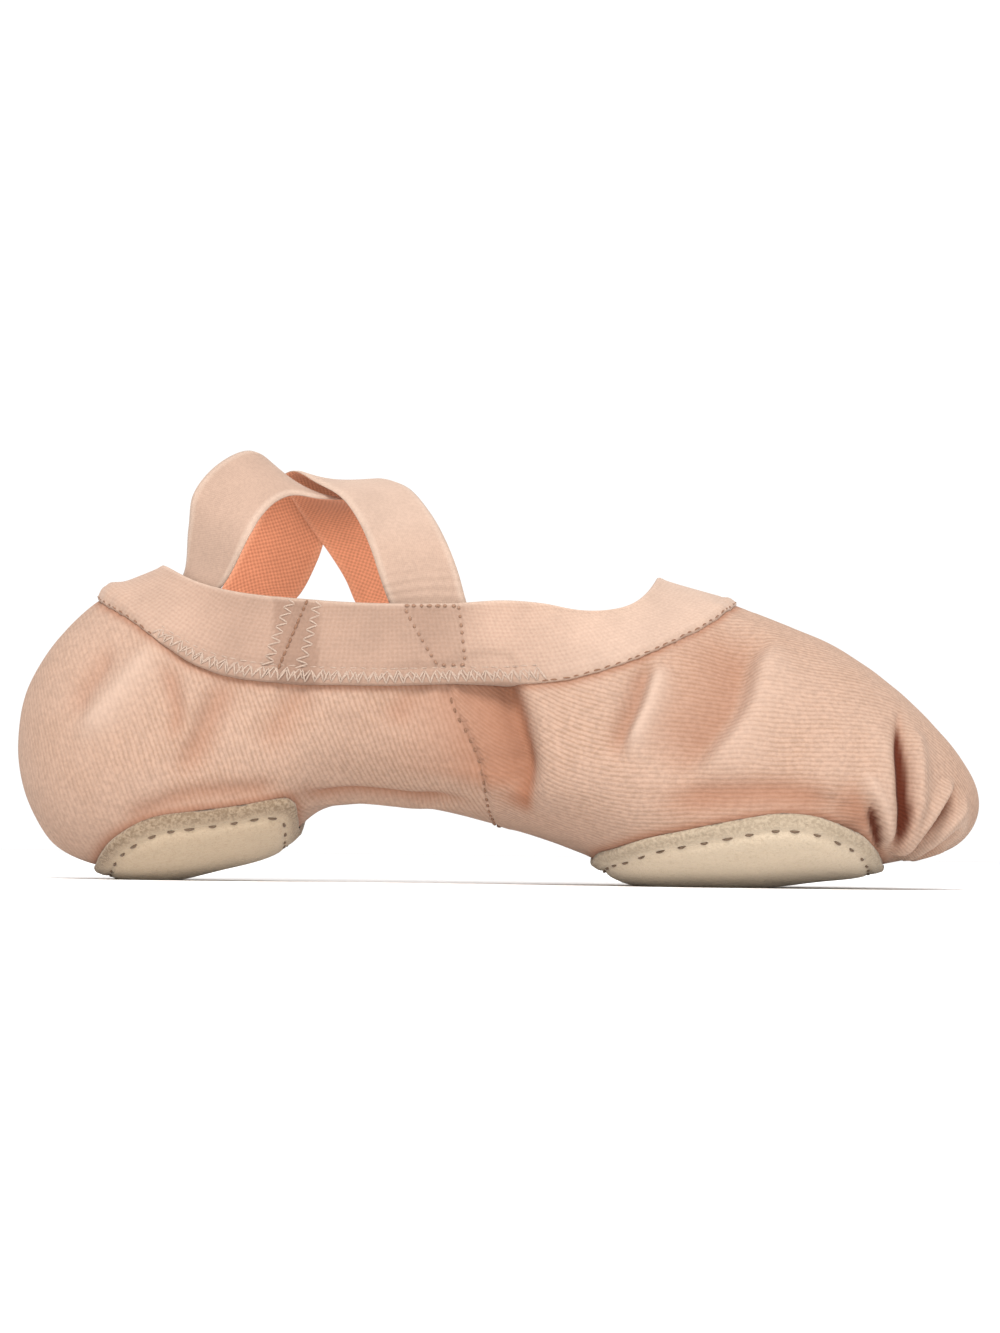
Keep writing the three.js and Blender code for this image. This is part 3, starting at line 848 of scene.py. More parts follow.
class Effects:
    """The effects that several finishes share, each a node group that is built once."""

    def __init__(self) -> None:
        """Builds the groups."""
        self.rib = self._rib()
        self.weave = self._weave()
        self.mottle = self._mottle()
        self.nap = self._nap()

    @staticmethod
    def _rib() -> Tree:
        """Raised ribs in a cloth, uneven in width and broken by slubs."""
        inputs = {"Along": 0.0, "Over": 0.0, "Pitch": 1.2, "Waver": 0.5, "Slub": 0.5}
        group = Group("ribbed cloth", inputs, ("Height",))
        along, over, pitch, waver, slub = group.given
        drift = group.drift(along, over, 0.07, waver)
        rib = group.scaled(group.wave(over, drift, pitch), 0.5, 0.5)
        stretched = group.flat(group.times(along, 0.42), group.times(over, 1.25))
        slubs = group.ramp(group.speckle(stretched, 1.0, 3.0, 0.6, True), 0.25, 0.75)
        broken = group.times(group.math("SUBTRACT", slubs, 0.5), slub)
        group.feed(group.results["Height"], group.plus(rib, broken))
        return group.tree

    @staticmethod
    def _weave() -> Tree:
        """Two sets of threads that cross."""
        inputs = {"Along": 0.0, "Over": 0.0, "Pitch along": 0.9, "Pitch over": 0.9, "Waver": 0.2}
        group = Group("crossed threads", inputs, ("Height",))
        along, over, pitch_along, pitch_over, waver = group.given
        drift = group.drift(along, over, 0.25, waver)
        warp = group.times(group.wave(along, drift, pitch_along), 0.25)
        weft = group.times(group.wave(over, drift, pitch_over), 0.25)
        group.feed(group.results["Height"], group.plus(group.plus(warp, weft), 0.5))
        return group.tree

    @staticmethod
    def _mottle() -> Tree:
        """Slow and fine changes of tone over a surface."""
        group = Group("mottle", {"Place": None, "Slow": 60.0, "Fine": 700.0}, ("Slow", "Fine"))
        place, slow, fine = group.given
        for name, scale, rough in (("Slow", slow, 0.55), ("Fine", fine, 0.6)):
            tone = group.speckle(place, scale, 3.0, rough)
            group.feed(group.results[name], group.ramp(tone, 0.3, 0.7))
        return group.tree

    @staticmethod
    def _nap() -> Tree:
        """Loose fibres standing off a surface."""
        group = Group("loose fibres", {"Place": None, "Scale": 2600.0}, ("Height",))
        place, scale = group.given
        fine = group.times(group.speckle(place, scale, 4.0, 0.7), 0.6)
        coarse = group.times(group.speckle(place, group.times(scale, 0.31), 2.0, 0.6), 0.4)
        group.feed(group.results["Height"], group.plus(fine, coarse))
        return group.tree


class FinishGraph(Graph):
    """The node tree of one finish, with its shader and the shared effects on the piece's own places."""

    def __init__(self, name: str, effects: Effects, sheen: float, sheen_colour: Colour) -> None:
        """Starts a material.

        Args:
            name: The material's name.
            effects: The shared effects.
            sheen: Weight of the soft shine of loose fibres.
            sheen_colour: Tint of that shine.
        """
        self.material = bpy.data.materials.new(name)
        self.material.use_nodes = True
        super().__init__(self.material.node_tree)
        self.effects = effects
        self.shader = self.tree.nodes["Principled BSDF"]
        self.shader.inputs["Specular IOR Level"].default_value = 0.15
        self.shader.inputs["Sheen Weight"].default_value = sheen
        self.shader.inputs["Sheen Roughness"].default_value = 0.5
        self.shader.inputs["Sheen Tint"].default_value = (*sheen_colour, 1.0)
        self.spot = self.node("ShaderNodeTexCoord").outputs["Object"]

    def weave(self, along: Socket, over: Socket, pitch: Pair, waver: float) -> Socket:
        """Height of crossed threads."""
        lengths = {"along": along, "over": over, "pitch_along": pitch[0], "pitch_over": pitch[1]}
        return self.use(self.effects.weave, "Height", **lengths, waver=waver)

    def mottle(self, slow: float, fine: float) -> list[Socket]:
        """Slow and fine changes of tone."""
        scales = {"slow": slow, "fine": fine}
        return [self.use(self.effects.mottle, name, place=self.spot, **scales) for name in ("Slow", "Fine")]

    def fibres(self, scale: float) -> Socket:
        """Height of loose fibres."""
        return self.use(self.effects.nap, "Height", place=self.spot, scale=scale)

    def close(self, colour: Socket, rough: Socket, height: Socket, depth: float, strength: float) -> Material:
        """Feeds the shader and raises the surface.

        Args:
            colour: Colour over the surface.
            rough: Roughness over it.
            height: Height over it, 0 to 1.
            depth: What a height of 1 is, in millimetres.
            strength: How much of it shows.

        Returns:
            The finished material.
        """
        bump = self.node("ShaderNodeBump")
        bump.inputs["Strength"].default_value = strength
        bump.inputs["Distance"].default_value = depth * MM
        self.feed(bump.inputs["Height"], height)
        for name, socket in (("Base Color", colour), ("Roughness", rough), ("Normal", bump.outputs[0])):
            self.feed(self.shader.inputs[name], socket)
        return self.material


@dataclass(frozen=True)
class CanvasFinish:
    """Ribbed stretch canvas: pale ribs over a warmer ground, two ways round on its two pieces.

    The ribs are stretched smooth at the back of the heel and along the middle line. Folds and the cloth
    beside other pieces are darkened with warm painted shade, deep pleats with dark painted shade, and ridges
    are lightened with a painted highlight.
    """

    effects: Effects
    rib: Colour = (0.324, 0.213, 0.158)
    ground: Colour = (0.268, 0.168, 0.117)
    # Painted shade colours of the folds and of deep pleats.
    hollow_shade: Colour = (0.228, 0.088, 0.045)
    pleat_shade: Colour = (0.062, 0.009, 0.002)
    # Slow random fading of the cloth.
    faded: Colour = (0.335, 0.232, 0.180)
    # Painted highlight colour of ridges.
    wear_and_highlight: Colour = (0.425, 0.318, 0.255)
    front_pitch: float = 1.12
    back_pitch: float = 1.13
    relief: float = 0.07

    def material(self) -> Material:
        """Makes the material."""
        graph = FinishGraph("ribbed_canvas", self.effects, 0.04, (1.0, 0.86, 0.76))
        ribs = []
        for cloth, pitch in (("back_cloth", self.back_pitch), ("front_cloth", self.front_pitch)):
            along, over = graph.place(cloth)
            lengths = {"along": along, "over": over, "pitch": pitch}
            ribs.append(graph.use(self.effects.rib, "Height", **lengths, waver=1.2, slub=0.5))
        height = graph.between(graph.ramp(graph.mark("seam_offset"), -0.3, 0.3), *ribs)
        slow, fine = graph.mottle(48.0, 900.0)
        split = graph.node("ShaderNodeSeparateXYZ")
        graph.feed(split.inputs[0], graph.spot)
        heel = graph.ramp(split.outputs[0], -0.112, -0.06, 0.6, 0.0)
        middle = graph.ramp(graph.math("ABSOLUTE", split.outputs[1]), 0.003, 0.014, 0.75, 0.0)
        smooth = graph.math("MAXIMUM", heel, middle)
        rib = graph.between(smooth, graph.ramp(height, -0.05, 0.75), 0.62)
        colour = graph.tint(graph.blend(rib, self.ground, self.rib), slow, 0.35, self.faded)
        colour = graph.blend(1.0, colour, graph.scaled(fine, 0.2, 0.9), "MULTIPLY")
        # Warm painted shade, painted highlight and dark painted shade, laid by the canvas's marks.
        tones = (("hollow_shade", 0.85, self.hollow_shade), ("pale", 0.8, self.wear_and_highlight), ("pleat_shade", 0.96, self.pleat_shade))
        for mark, share, tone in tones:
            colour = graph.tint(colour, graph.mark(mark), share, tone)
        rough = graph.ramp(height, 0.0, 1.0, 0.96, 0.82)
        raised = graph.plus(height, graph.times(graph.fibres(2400.0), 0.5))
        return graph.close(colour, rough, raised, self.relief, 0.75)


@dataclass(frozen=True)
class ElasticFinish:
    """Fine woven elastic: crossed threads, pale selvedges, greyer where it is sewn double. The greyer tone
    also lays painted shade, and the paler tone also lays a painted highlight.

    The glow is painted light: an emission on a strap's inner face that stands in for the light coming through
    the thin strap.
    """

    effects: Effects
    name: str
    thread: Colour
    ground: Colour
    selvedge: Colour
    doubled_and_shade: Colour = (0.186, 0.112, 0.080)
    glow: Colour = (0.0, 0.0, 0.0)
    pitch: Pair = (1.15, 1.05)
    slant: bool = False
    relief: float = 0.06

    def material(self) -> Material:
        """Makes the material."""
        graph = FinishGraph(self.name, self.effects, 0.12, (1.0, 0.88, 0.80))
        along, over = graph.place("elastic_weave")
        if self.slant:
            along, over = graph.plus(along, over), graph.math("SUBTRACT", along, over)
        height = graph.weave(along, over, self.pitch, 0.35)
        slow, fine = graph.mottle(70.0, 1500.0)
        colour = graph.blend(graph.ramp(height, 0.1, 0.8), self.ground, self.thread)
        # Greyer tone: real doubling and painted shade; paler tone: real selvedge and painted highlight.
        for mark, tone in (("doubled_and_shade", self.doubled_and_shade), ("selvedge", self.selvedge)):
            colour = graph.tint(colour, graph.mark(mark), 0.7, tone)
        shade = graph.times(graph.scaled(slow, 0.12, 0.94), graph.scaled(fine, 0.12, 0.94))
        colour = graph.blend(1.0, colour, shade, "MULTIPLY")
        # Painted glow: an emission on the inner face, scaled by the lit mark, standing in for light coming
        # through the strap.
        if any(self.glow):
            through = graph.times(shade, graph.ramp(height, 0.0, 1.0, 0.8, 1.1))
            through = graph.times(through, graph.mark("lit"))
            light = graph.blend(1.0, self.glow, through, "MULTIPLY")
            graph.feed(graph.shader.inputs["Emission Color"], light)
            graph.shader.inputs["Emission Strength"].default_value = 1.0
        rough = graph.ramp(height, 0.0, 1.0, 0.9, 0.72)
        raised = graph.plus(height, graph.times(graph.fibres(3000.0), 0.35))
        return graph.close(colour, rough, raised, self.relief, 0.7)


@dataclass(frozen=True)
class SuedeFinish:
    """Split suede: speckled nap, a browner fuzzy rim and a scuffed tread."""

    effects: Effects
    name: str
    nap: Colour
    speck: Colour
    rim: Colour
    scuff: Colour
    relief: float = 0.35

    def material(self) -> Material:
        """Makes the material."""
        graph = FinishGraph(self.name, self.effects, 0.2, (1.0, 0.93, 0.84))
        slow, fine = graph.mottle(150.0, 1300.0)
        fibres = graph.fibres(3200.0)
        colour = graph.tint(self.nap, slow, 0.45, self.scuff)
        colour = graph.tint(colour, graph.ramp(fibres, 0.52, 0.36), 0.55, self.speck)
        ragged = graph.times(graph.mark("rim"), graph.ramp(fine, 0.1, 0.9, 1.0, 0.55))
        colour = graph.blend(ragged, colour, self.rim)
        wear_and_highlight = graph.times(graph.mark("tread"), graph.ramp(slow, 0.15, 0.85, 0.15, 0.7))
        colour = graph.blend(wear_and_highlight, colour, self.scuff)
        rough = graph.ramp(fine, 0.0, 1.0, 0.88, 1.0)
        raised = graph.plus(graph.times(fibres, 0.7), graph.times(fine, 0.4))
        return graph.close(colour, rough, raised, self.relief, 0.8)


@dataclass(frozen=True)
class LiningFinish:
    """Plain woven cotton that lies inside."""

    effects: Effects
    thread: Colour = (0.660, 0.470, 0.370)
    ground: Colour = (0.520, 0.330, 0.240)
    wear_and_highlight: Colour = (0.500, 0.350, 0.270)
    pitch: Pair = (0.8, 0.8)
    relief: float = 0.1

    def material(self) -> Material:
        """Makes the material."""
        graph = FinishGraph("cotton_lining", self.effects, 0.15, (1.0, 0.9, 0.82))
        height = graph.weave(*graph.place("lining_cloth"), self.pitch, 0.5)
        slow, fine = graph.mottle(40.0, 900.0)
        colour = graph.tint(graph.blend(height, self.ground, self.thread), slow, 0.4, self.wear_and_highlight)
        rough = graph.ramp(fine, 0.0, 1.0, 0.86, 0.97)
        raised = graph.plus(height, graph.times(graph.fibres(2200.0), 0.4))
        return graph.close(colour, rough, raised, self.relief, 0.7)


@dataclass(frozen=True)
class ThreadFinish:
    """Sewing thread with loose fibres."""

    effects: Effects
    name: str
    thread: Colour
    shade: Colour
    relief: float = 0.06

    def material(self) -> Material:
        """Makes the material."""
        graph = FinishGraph(self.name, self.effects, 0.2, (1.0, 0.9, 0.8))
        slow, fine = graph.mottle(400.0, 4000.0)
        colour = graph.blend(fine, self.shade, self.thread)
        rough = graph.ramp(slow, 0.0, 1.0, 0.65, 0.85)
        return graph.close(colour, rough, graph.fibres(5000.0), self.relief, 0.6)


# Sewing


@dataclass(frozen=True)
class Stitcher:
    """Lays single stitches as short rounded threads that dip into the cloth at both ends.

    Crest and dip are how far a stitch stands up in its middle and goes in at its ends, in radii,
    and flatness is its height over its width. The rest is how uneven the stitches are.
    """

    radius: float
    rings: int = 7
    sides: int = 6
    crest: float = 1.1
    dip: float = 0.75
    flatness: float = 0.8
    uneven_start: float = 0.08
    uneven_length: Pair = (0.85, 1.12)
    uneven_line: float = 0.14
    uneven_zig: float = 0.22
    uneven_width: float = 0.07

    def threads(self, starts: Array, ends: Array, ups: Array) -> Mesh:
        """Makes the threads.

        Args:
            starts: Where the stitches go in.
            ends: Where they come out.
            ups: Outward directions of the cloth.

        Returns:
            Points and faces.
        """
        share = np.linspace(0, 1, self.rings)
        forward = unit(ends - starts)
        ups = unit(ups - forward * np.sum(ups * forward, -1, keepdims=True))
        aside = np.cross(forward, ups)
        thick = self.radius * np.maximum(np.sin(np.pi * share), 0.05) ** 0.45
        lift = self.radius * (self.crest * np.sin(np.pi * share) ** 0.7 - self.dip)
        turn = np.linspace(0, 2 * np.pi, self.sides, endpoint=False)
        centre = starts[:, None] + (ends - starts)[:, None] * share[:, None] + ups[:, None] * lift[:, None]
        wide = aside[:, None, None] * (thick[:, None] * np.cos(turn))[..., None]
        high = ups[:, None, None] * (thick[:, None] * np.sin(turn) * self.flatness)[..., None]
        points = centre[:, :, None] + wide + high
        faces = tube_faces(points[0], False)
        size = self.rings * self.sides
        shifted = [tuple(k + size * n for k in face) for n in range(len(points)) for face in faces]
        return points.reshape(-1, 3), shifted

    def row(self, line: Array, ups: Array, pitch: float, length: float, seed: int) -> Mesh:
        """A running row of stitches along a line.

        Args:
            line: The line.
            ups: Outward directions along it.
            pitch: Length of a stitch and the gap after it.
            length: Length of a stitch.
            seed: Sets the small unevenness.

        Returns:
            Points and faces.
        """
        chance = np.random.default_rng(seed)
        arcs = arc_lengths(line)
        total = arcs[-1]
        count = max(int(total / pitch), 1)
        shift = chance.uniform(-self.uneven_start, self.uneven_start, count)
        begins = np.clip(np.arange(count) * total / count + shift * pitch, 0, total - length)
        sizes = length * chance.uniform(*self.uneven_length, count)
        tops = at_lengths(ups, arcs, begins + length / 2)
        jitter = chance.uniform(-self.uneven_line, self.uneven_line, (count, 3))
        starts = at_lengths(line, arcs, begins) + jitter
        ends = at_lengths(line, arcs, begins + sizes) - jitter
        return self.threads(starts, ends, unit(tops))

    def zigzag(self, low: Array, high: Array, ups: Array, pitch: float, seed: int) -> Mesh:
        """A zigzag between two lines of the same number of points.

        Args:
            low: One line.
            high: The other line.
            ups: Outward directions along them.
            pitch: Length of one zig along the lines.
            seed: Sets the small unevenness.

        Returns:
            Points and faces.
        """
        chance = np.random.default_rng(seed)
        arcs = arc_lengths((low + high) / 2)
        count = max(int(arcs[-1] / pitch), 2)
        stops = np.linspace(0, arcs[-1], count + 1)
        stops[1:-1] += chance.uniform(-self.uneven_zig, self.uneven_zig, count - 1) * pitch
        share = np.where(np.arange(count + 1) % 2, 0.96, 0.04)
        share = share + chance.uniform(-self.uneven_width, self.uneven_width, count + 1)
        lows, highs, tops = (at_lengths(rows, arcs, stops) for rows in (low, high, ups))
        nodes = lows + (highs - lows) * share[:, None]
        return self.threads(nodes[:-1], nodes[1:], unit(tops[:-1] + tops[1:]))


def sew(name: str, rows: list[Mesh], slot: Slot, finish: Material) -> None:
    """Makes one piece of several rows of stitches.

    Args:
        name: The piece's name.
        rows: Points and faces of each row.
        slot: The record's material slot.
        finish: The thread's material.
    """
    points, faces, count = [], [], 0
    for own_points, own_faces in rows:
        points.append(own_points)
        faces += [tuple(k + count for k in face) for face in own_faces]
        count += len(own_points)
    Piece(name, np.vstack(points), faces, slot, [finish]).make()


# Sub-assemblies


@dataclass(frozen=True)
class CanvasUpper:
    """The canvas body of the slipper, folded, gathered at the toe and open at the collar.

    The front ribs bend from a length along the side on, each by its own curve, and the back ribs lean by an
    angle. Shades are the painted shade beside the band's edge and beside a patch's rim, and shade_reach is
    how far they are followed.
    """

    last: Last
    band: BandPath
    relief: Relief
    wall: float = 1.2
    collar_across: float = 0.22
    heel_stations: int = 30
    collar_stations: int = 165
    toe_stations: int = 128
    columns: int = 210
    inner_step: int = 3
    tip_reach: float = 0.04
    under_sole: float = 0.1
    toe_bend: Pair = (88.0, 0.014)
    arch_bend: Pair = (36.0, 0.0095)
    back_lean: float = 70.0
    # Painted shade beside the band's edge and beside the patches' rims.
    edge_shade: Swell = Swell(0.75, 0.0, 1.3)
    rim_shade: Swell = Swell(0.75, 0.0, 1.8)
    shade_reach: Pair = (6.0, 8.0)

    def stations(self) -> tuple[Array, Array]:
        """Places of the sections and the angle at which the canvas starts on each.

        Under the band the opening runs to a point at the throat and at the back, so that the
        columns of points shift slowly from section to section.

        Returns:
            Turns and angles from the crown.
        """
        edge_turn, edge_angle = self.band.spot(np.linspace(np.pi, 0, 400), self.collar_across)
        order = np.argsort(edge_turn)
        ends = edge_turn[order[0]], edge_turn[order[-1]]
        turn = np.linspace(*ends, self.collar_stations)
        angle = np.interp(turn, edge_turn[order], edge_angle[order])
        for end, inward in zip(ends, (self.tip_reach, -self.tip_reach)):
            share = np.abs(turn - end) / self.tip_reach
            full = np.interp(end + inward, edge_turn[order], edge_angle[order])
            angle = np.where(share < 1, full * share, angle)
        heel = turn[0] * np.linspace(0, 1, self.heel_stations, endpoint=False)
        toe = turn[-1] + (1 - turn[-1]) * np.linspace(0, 1, self.toe_stations + 1)[1:]
        turns = np.concatenate([heel, turn, toe])
        angles = np.concatenate([np.zeros(len(heel)), angle, np.zeros(len(toe))])
        angles[len(heel)] = angles[len(heel) + len(turn) - 1] = 0
        return turns, angles

    def rib_maps(self, turn: Array, angle: Array) -> dict[str, Array]:
        """Where each point lies in the flat cloth of the front and the back piece.

        Args:
            turn: Places along the last.
            angle: Angles from the crown.

        Returns:
            Lengths along and over the ribs for the two pieces, in millimetres.
        """
        along = self.last.side_length(turn)
        up = self.last.girth(turn, angle) + self.last.section(turn)[2]
        (toe, toe_curve), (arch, arch_curve) = self.toe_bend, self.arch_bend
        beyond, behind = np.maximum(along - toe, 0), np.maximum(arch - along, 0)
        front = np.stack([along, up + toe_curve * beyond**2 - arch_curve * behind**2], -1)
        lean = math.radians(self.back_lean)
        cosine, sine = math.cos(lean), math.sin(lean)
        back = np.stack([along * cosine - up * sine, along * sine + up * cosine], -1)
        return {"front_cloth": front, "back_cloth": back}

    @staticmethod
    def numbers(shape: tuple[int, ...], welded: Array) -> Array:
        """Point numbers over the canvas."""
        index = np.arange(shape[0] * shape[1]).reshape(shape)
        index[0], index[-1] = index[0, 0], index[-1, 0]
        index[welded, -1] = index[welded, 0]
        return index

    def build(self, finish: Material, soles: list["SolePatch"]) -> None:
        """Builds the canvas.

        Args:
            finish: Its material.
            soles: The patches that are sewn on it, which shade the canvas at their rims.
        """
        turns, starts = self.stations()
        share = np.linspace(0, 1, self.columns + 1)
        angle = starts[:, None] + (2 * np.pi - 2 * starts[:, None]) * share
        turn = np.broadcast_to(turns[:, None], angle.shape)
        inner = (slice(None), slice(None, None, self.inner_step))
        closed = starts <= 1e-9
        index = self.numbers(angle.shape, closed)
        inside = self.numbers(angle[inner].shape, closed) + angle.size
        base = self.last.point(turn, angle)
        normal = self.last.normal(np.clip(turn, 0.0005, 0.9995), angle)
        normal[0], normal[-1] = (-1, 0, 0), (1, 0, 0)
        flat = base.reshape(-1, 3)
        heights = self.relief.heights(flat)
        for sole in soles:
            covered = sole.covers(turn.ravel(), angle.ravel())
            heights[covered] = np.minimum(heights[covered], self.under_sole)
        lie = heights.reshape(angle.shape)
        outer = base + normal * lie[..., None]
        lined = (base + normal * (lie - self.wall)[..., None])[inner]
        faces = skin(index) + [face[::-1] for face in skin(inside)]
        opened = np.flatnonzero(~closed)
        rim = slice(opened[0] - 1, opened[-1] + 2)
        faces += skin(np.stack([inside[rim, 0], index[rim, 0]], 1))
        faces += skin(np.stack([index[rim, -1], inside[rim, -1]], 1))
        used, faces = prune(faces)

        def both(values: Array, inner_share: float = 1.0) -> Array:
            """Values of the used points, with a share of them on the inner face."""
            grid = values.reshape(*angle.shape, -1)
            within = inner_share * grid[inner].reshape(inside.size, -1)
            return np.concatenate([grid.reshape(angle.size, -1), within])[used]

        maps = {name: both(places) for name, places in self.rib_maps(turn, angle).items()}
        # Painted shade in folds, beside the band and the patches and in pleats, and a painted highlight on
        # ridges.
        dark, warm, pale = self.relief.tones(flat)
        marks = {
            "hollow_shade": both(self.hollows(flat, warm, soles), 0.0),
            "pleat_shade": both(dark, 0.0),
            "pale": both(pale, 0.0),
            "seam_offset": both(self.relief.seam_offset(flat)),
        }
        points = np.concatenate([outer.reshape(-1, 3), lined.reshape(-1, 3)])[used]
        Piece("canvas_upper", points, faces, Slot.CANVAS, [finish], ("upper",), marks, maps).make()

    def hollows(self, base: Array, warm: Array, soles: list["SolePatch"]) -> Array:
        """How much warm painted shade each point gets in a fold or beside the rim of another piece.

        Args:
            base: Places on the last, one row each.
            warm: How much warm painted shade the folds give there.
            soles: The patches.

        Returns:
            Shares from 0 to 1.
        """
        deep = warm.copy()
        edge_reach, rim_reach = self.shade_reach
        lines = [(self.relief.edge_line(), self.edge_shade, edge_reach)]
        lines += [(sole.rim_line(), self.rim_shade, rim_reach) for sole in soles]
        for line, shade, reach in lines:
            picked, near, _, _ = line.nearest(base, reach)
            deep[picked] = np.maximum(deep[picked], shade.over(near))
        return deep


@dataclass(frozen=True)
class CollarBand:
    """The wide elastic sewn round the collar, with its joint, its stitched edge and the strap boxes.

    Places along it are shares of the slipper's length, and places across it run from its sewn edge (0) to its
    free edge (1). Greys are how grey the joint, the side between the straps, where the grey is painted shade,
    the sewn strip and the strap boxes are. The throat is paler as a painted highlight.
    """

    band: BandPath
    relief: Relief
    gap: float = 0.3
    bite: float = 0.35
    thickness: float = 1.1
    columns: int = 440
    outer_rows: int = 30
    edge: float = 0.03
    joint_at: float = 0.294
    joint_half: float = 5.6
    boxes: tuple[tuple[float, float, Side], ...] = ((0.404, 0.4655, Side.NEAR), (0.377, 0.439, Side.FAR))
    box_slant: float = 0.028
    loose: Pair = (0.15, 0.535)
    bead: Swell = Swell(0.2, 0.955, 0.03)
    strip: Swell = Swell(1.0, 0.09, 0.06)
    groove: Swell = Swell(1.0, 0.195, 0.03)
    roll: Swell = Swell(1.4, 0.24, 0.15)
    selvedge: Swell = Swell(0.8, 0.975, 0.03)
    ripple_pitch: float = 4.3
    thinned: float = 0.62
    sway_limits: Pair = (-0.9, 1.0)
    sway: float = 0.35
    doubled_swell: float = 0.35
    # The second grey is painted shade on the side between the straps.
    greys: tuple[float, float, float, float] = (1.15, 0.62, 0.5, 0.22)
    # Painted highlight at the throat.
    throat_highlight: float = 0.6

    def profile(self) -> Array:
        """The band's cross section.

        Returns:
            Rows of place across the band and share of the thickness, 1 on the outer face.
        """
        edge = self.edge
        across = np.linspace(edge, 1 - edge, self.outer_rows)
        bend = np.linspace(0.15, 0.85, 5) * np.pi
        free = np.stack([1 - edge + edge * np.sin(bend), 0.5 + 0.5 * np.cos(bend)], -1)
        sewn = np.stack([edge - edge * np.sin(bend), 0.5 - 0.5 * np.cos(bend)], -1)
        outer = np.stack([across, np.ones_like(across)], -1)
        inner = np.stack([across[::-2], np.zeros_like(across[::-2])], -1)
        return np.vstack([outer, free, inner, sewn])

    def lift(self, at: Array, across: Array, arcs: Array) -> Array:
        """How the outer face swells and thins.

        Args:
            at: Share of the slipper's length.
            across: Place across the band.
            arcs: Length along the band.

        Returns:
            Heights in millimetres of the rolled free edge, the strip along the sewn edge, which
            is puffed and uneven at the sides, thin elsewhere and rolled out at the back, and the
            groove above it.
        """
        side = ease((at - self.loose[0]) / 0.03) * ease((self.loose[1] - at) / 0.05)
        ripple = 0.5 + 0.5 * np.sin(2 * np.pi * arcs / self.ripple_pitch + 1.7 * np.sin(arcs / 7.3))
        puff = self.strip.over(across) * (side * (0.1 + 0.14 * ripple) + (1 - side) * 0.24)
        groove = self.groove.over(across) * (0.14 + 0.2 * side)
        thin = (1 - ease(across / 0.14)) * (1 - side) * self.thinned
        roll = self.roll.over(across) * ease((0.15 - at) / 0.06)
        return self.bead.over(across) + puff + roll - groove - thin

    def arcs(self, around: Array) -> Array:
        """Length along the band from the throat."""
        angles = np.linspace(0, 2 * np.pi, 721)
        return np.interp(np.mod(around, 2 * np.pi), angles, arc_lengths(self.band.on(angles, 0.4, 0.0)))

    def lay(self, around: Array, across: Array) -> dict[str, Array]:
        """How the band lies at places on it.

        Args:
            around: Angles round the collar.
            across: Places across the band.

        Returns:
            Points on the last, outward directions, the height of the cloth, how far the band sways with it,
            how much thicker it is than plain elastic, its greyer places, some of them painted shade, and its
            paler places, some of them a painted highlight.
        """
        around, across = np.broadcast_arrays(np.asarray(around, float), np.asarray(across, float))
        turn, angle = self.band.spot(around, across)
        at = self.band.last.at(turn)
        base = self.band.last.point(turn, angle)
        cloth = self.relief.heights(base.reshape(-1, 3)).reshape(at.shape)
        followed = np.clip(cloth * (1 - ease((across - 0.1) / 0.35)), *self.sway_limits)
        doubled_and_shade = self.doubled_and_shade(turn, angle, across)
        return {
            "base": base,
            "normal": self.band.last.normal(turn, angle),
            "cloth": cloth,
            "sway": followed + self.sway * wander(base, 21, 5.2) * ease(across / 0.5),
            "swell": self.lift(at, across, self.arcs(around)) + self.doubled_swell * doubled_and_shade,
            "doubled_and_shade": doubled_and_shade,
            "selvedge": self.pale(at, across),
        }

    def surface(self, around: Array, across: Array, above: float) -> tuple[Array, Array]:
        """Points over the band's outer face, and their outward directions.

        Args:
            around: Angles round the collar.
            across: Places across the band.
            above: Height over the face in millimetres.

        Returns:
            Points and directions.
        """
        lay = self.lay(around, across)
        rise = self.gap + self.thickness + lay["sway"] + lay["swell"] + above
        return lay["base"] + lay["normal"] * rise[..., None], lay["normal"]

    def build(self, finish: Material) -> None:
        """Builds the band.

        Args:
            finish: Its material.
        """
        around = np.linspace(0, 2 * np.pi, self.columns, endpoint=False)
        profile = self.profile()
        lay = self.lay(around[:, None], profile[:, 0])
        top = self.gap + self.thickness + lay["swell"] + lay["sway"]
        free = ease(profile[:, 0] / 0.25)
        under = (self.gap + lay["sway"]) * free + (lay["cloth"] - self.bite) * (1 - free)
        height = under + profile[:, 1] * (top - under)
        loops = lay["base"] + lay["normal"] * height[..., None]
        sewn, open_edge = (self.band.on(around, across, 0.0) for across in (0.0, 1.0))
        width = np.linalg.norm(sewn - open_edge, axis=-1)
        along = np.broadcast_to(self.arcs(around)[:, None], height.shape)
        maps = {"elastic_weave": np.stack([along, profile[:, 0] * width[:, None]], -1)}
        marks = {name: lay[name] for name in ("selvedge", "doubled_and_shade")}
        faces = tube_faces(loops, True)
        name, nodes = "elastic_collar_band", ("collar_band",)
        Piece(name, loops, faces, Slot.ELASTIC, [finish], nodes, marks, maps).make()

    def between(self, spot: tuple[Array, Array], back: Array, front: float, side: Side) -> Array:
        """Which spots on the last lie between two shares of its length on one side."""
        turn, angle = spot
        at = self.band.last.at(turn)
        own = self.band.last.length * np.minimum(at - back, front - at)
        return ease(own / 1.2 + 0.5) * (angle * side.value > 0)

    def doubled_and_shade(self, turn: Array, angle: Array, across: Array) -> Array:
        """How grey the band is where it is sewn double or overlocked, and on its side between the straps,
        where the grey is painted shade.

        Args:
            turn: Turns along the last.
            angle: Angles from the crown.
            across: Places across the band.

        Returns:
            Shares, 1 for plainly grey.
        """
        at = self.band.last.at(turn)
        reach = self.joint_half / self.band.last.length
        joint = self.between((turn, angle), self.joint_at - reach, self.joint_at + reach, Side.NEAR)
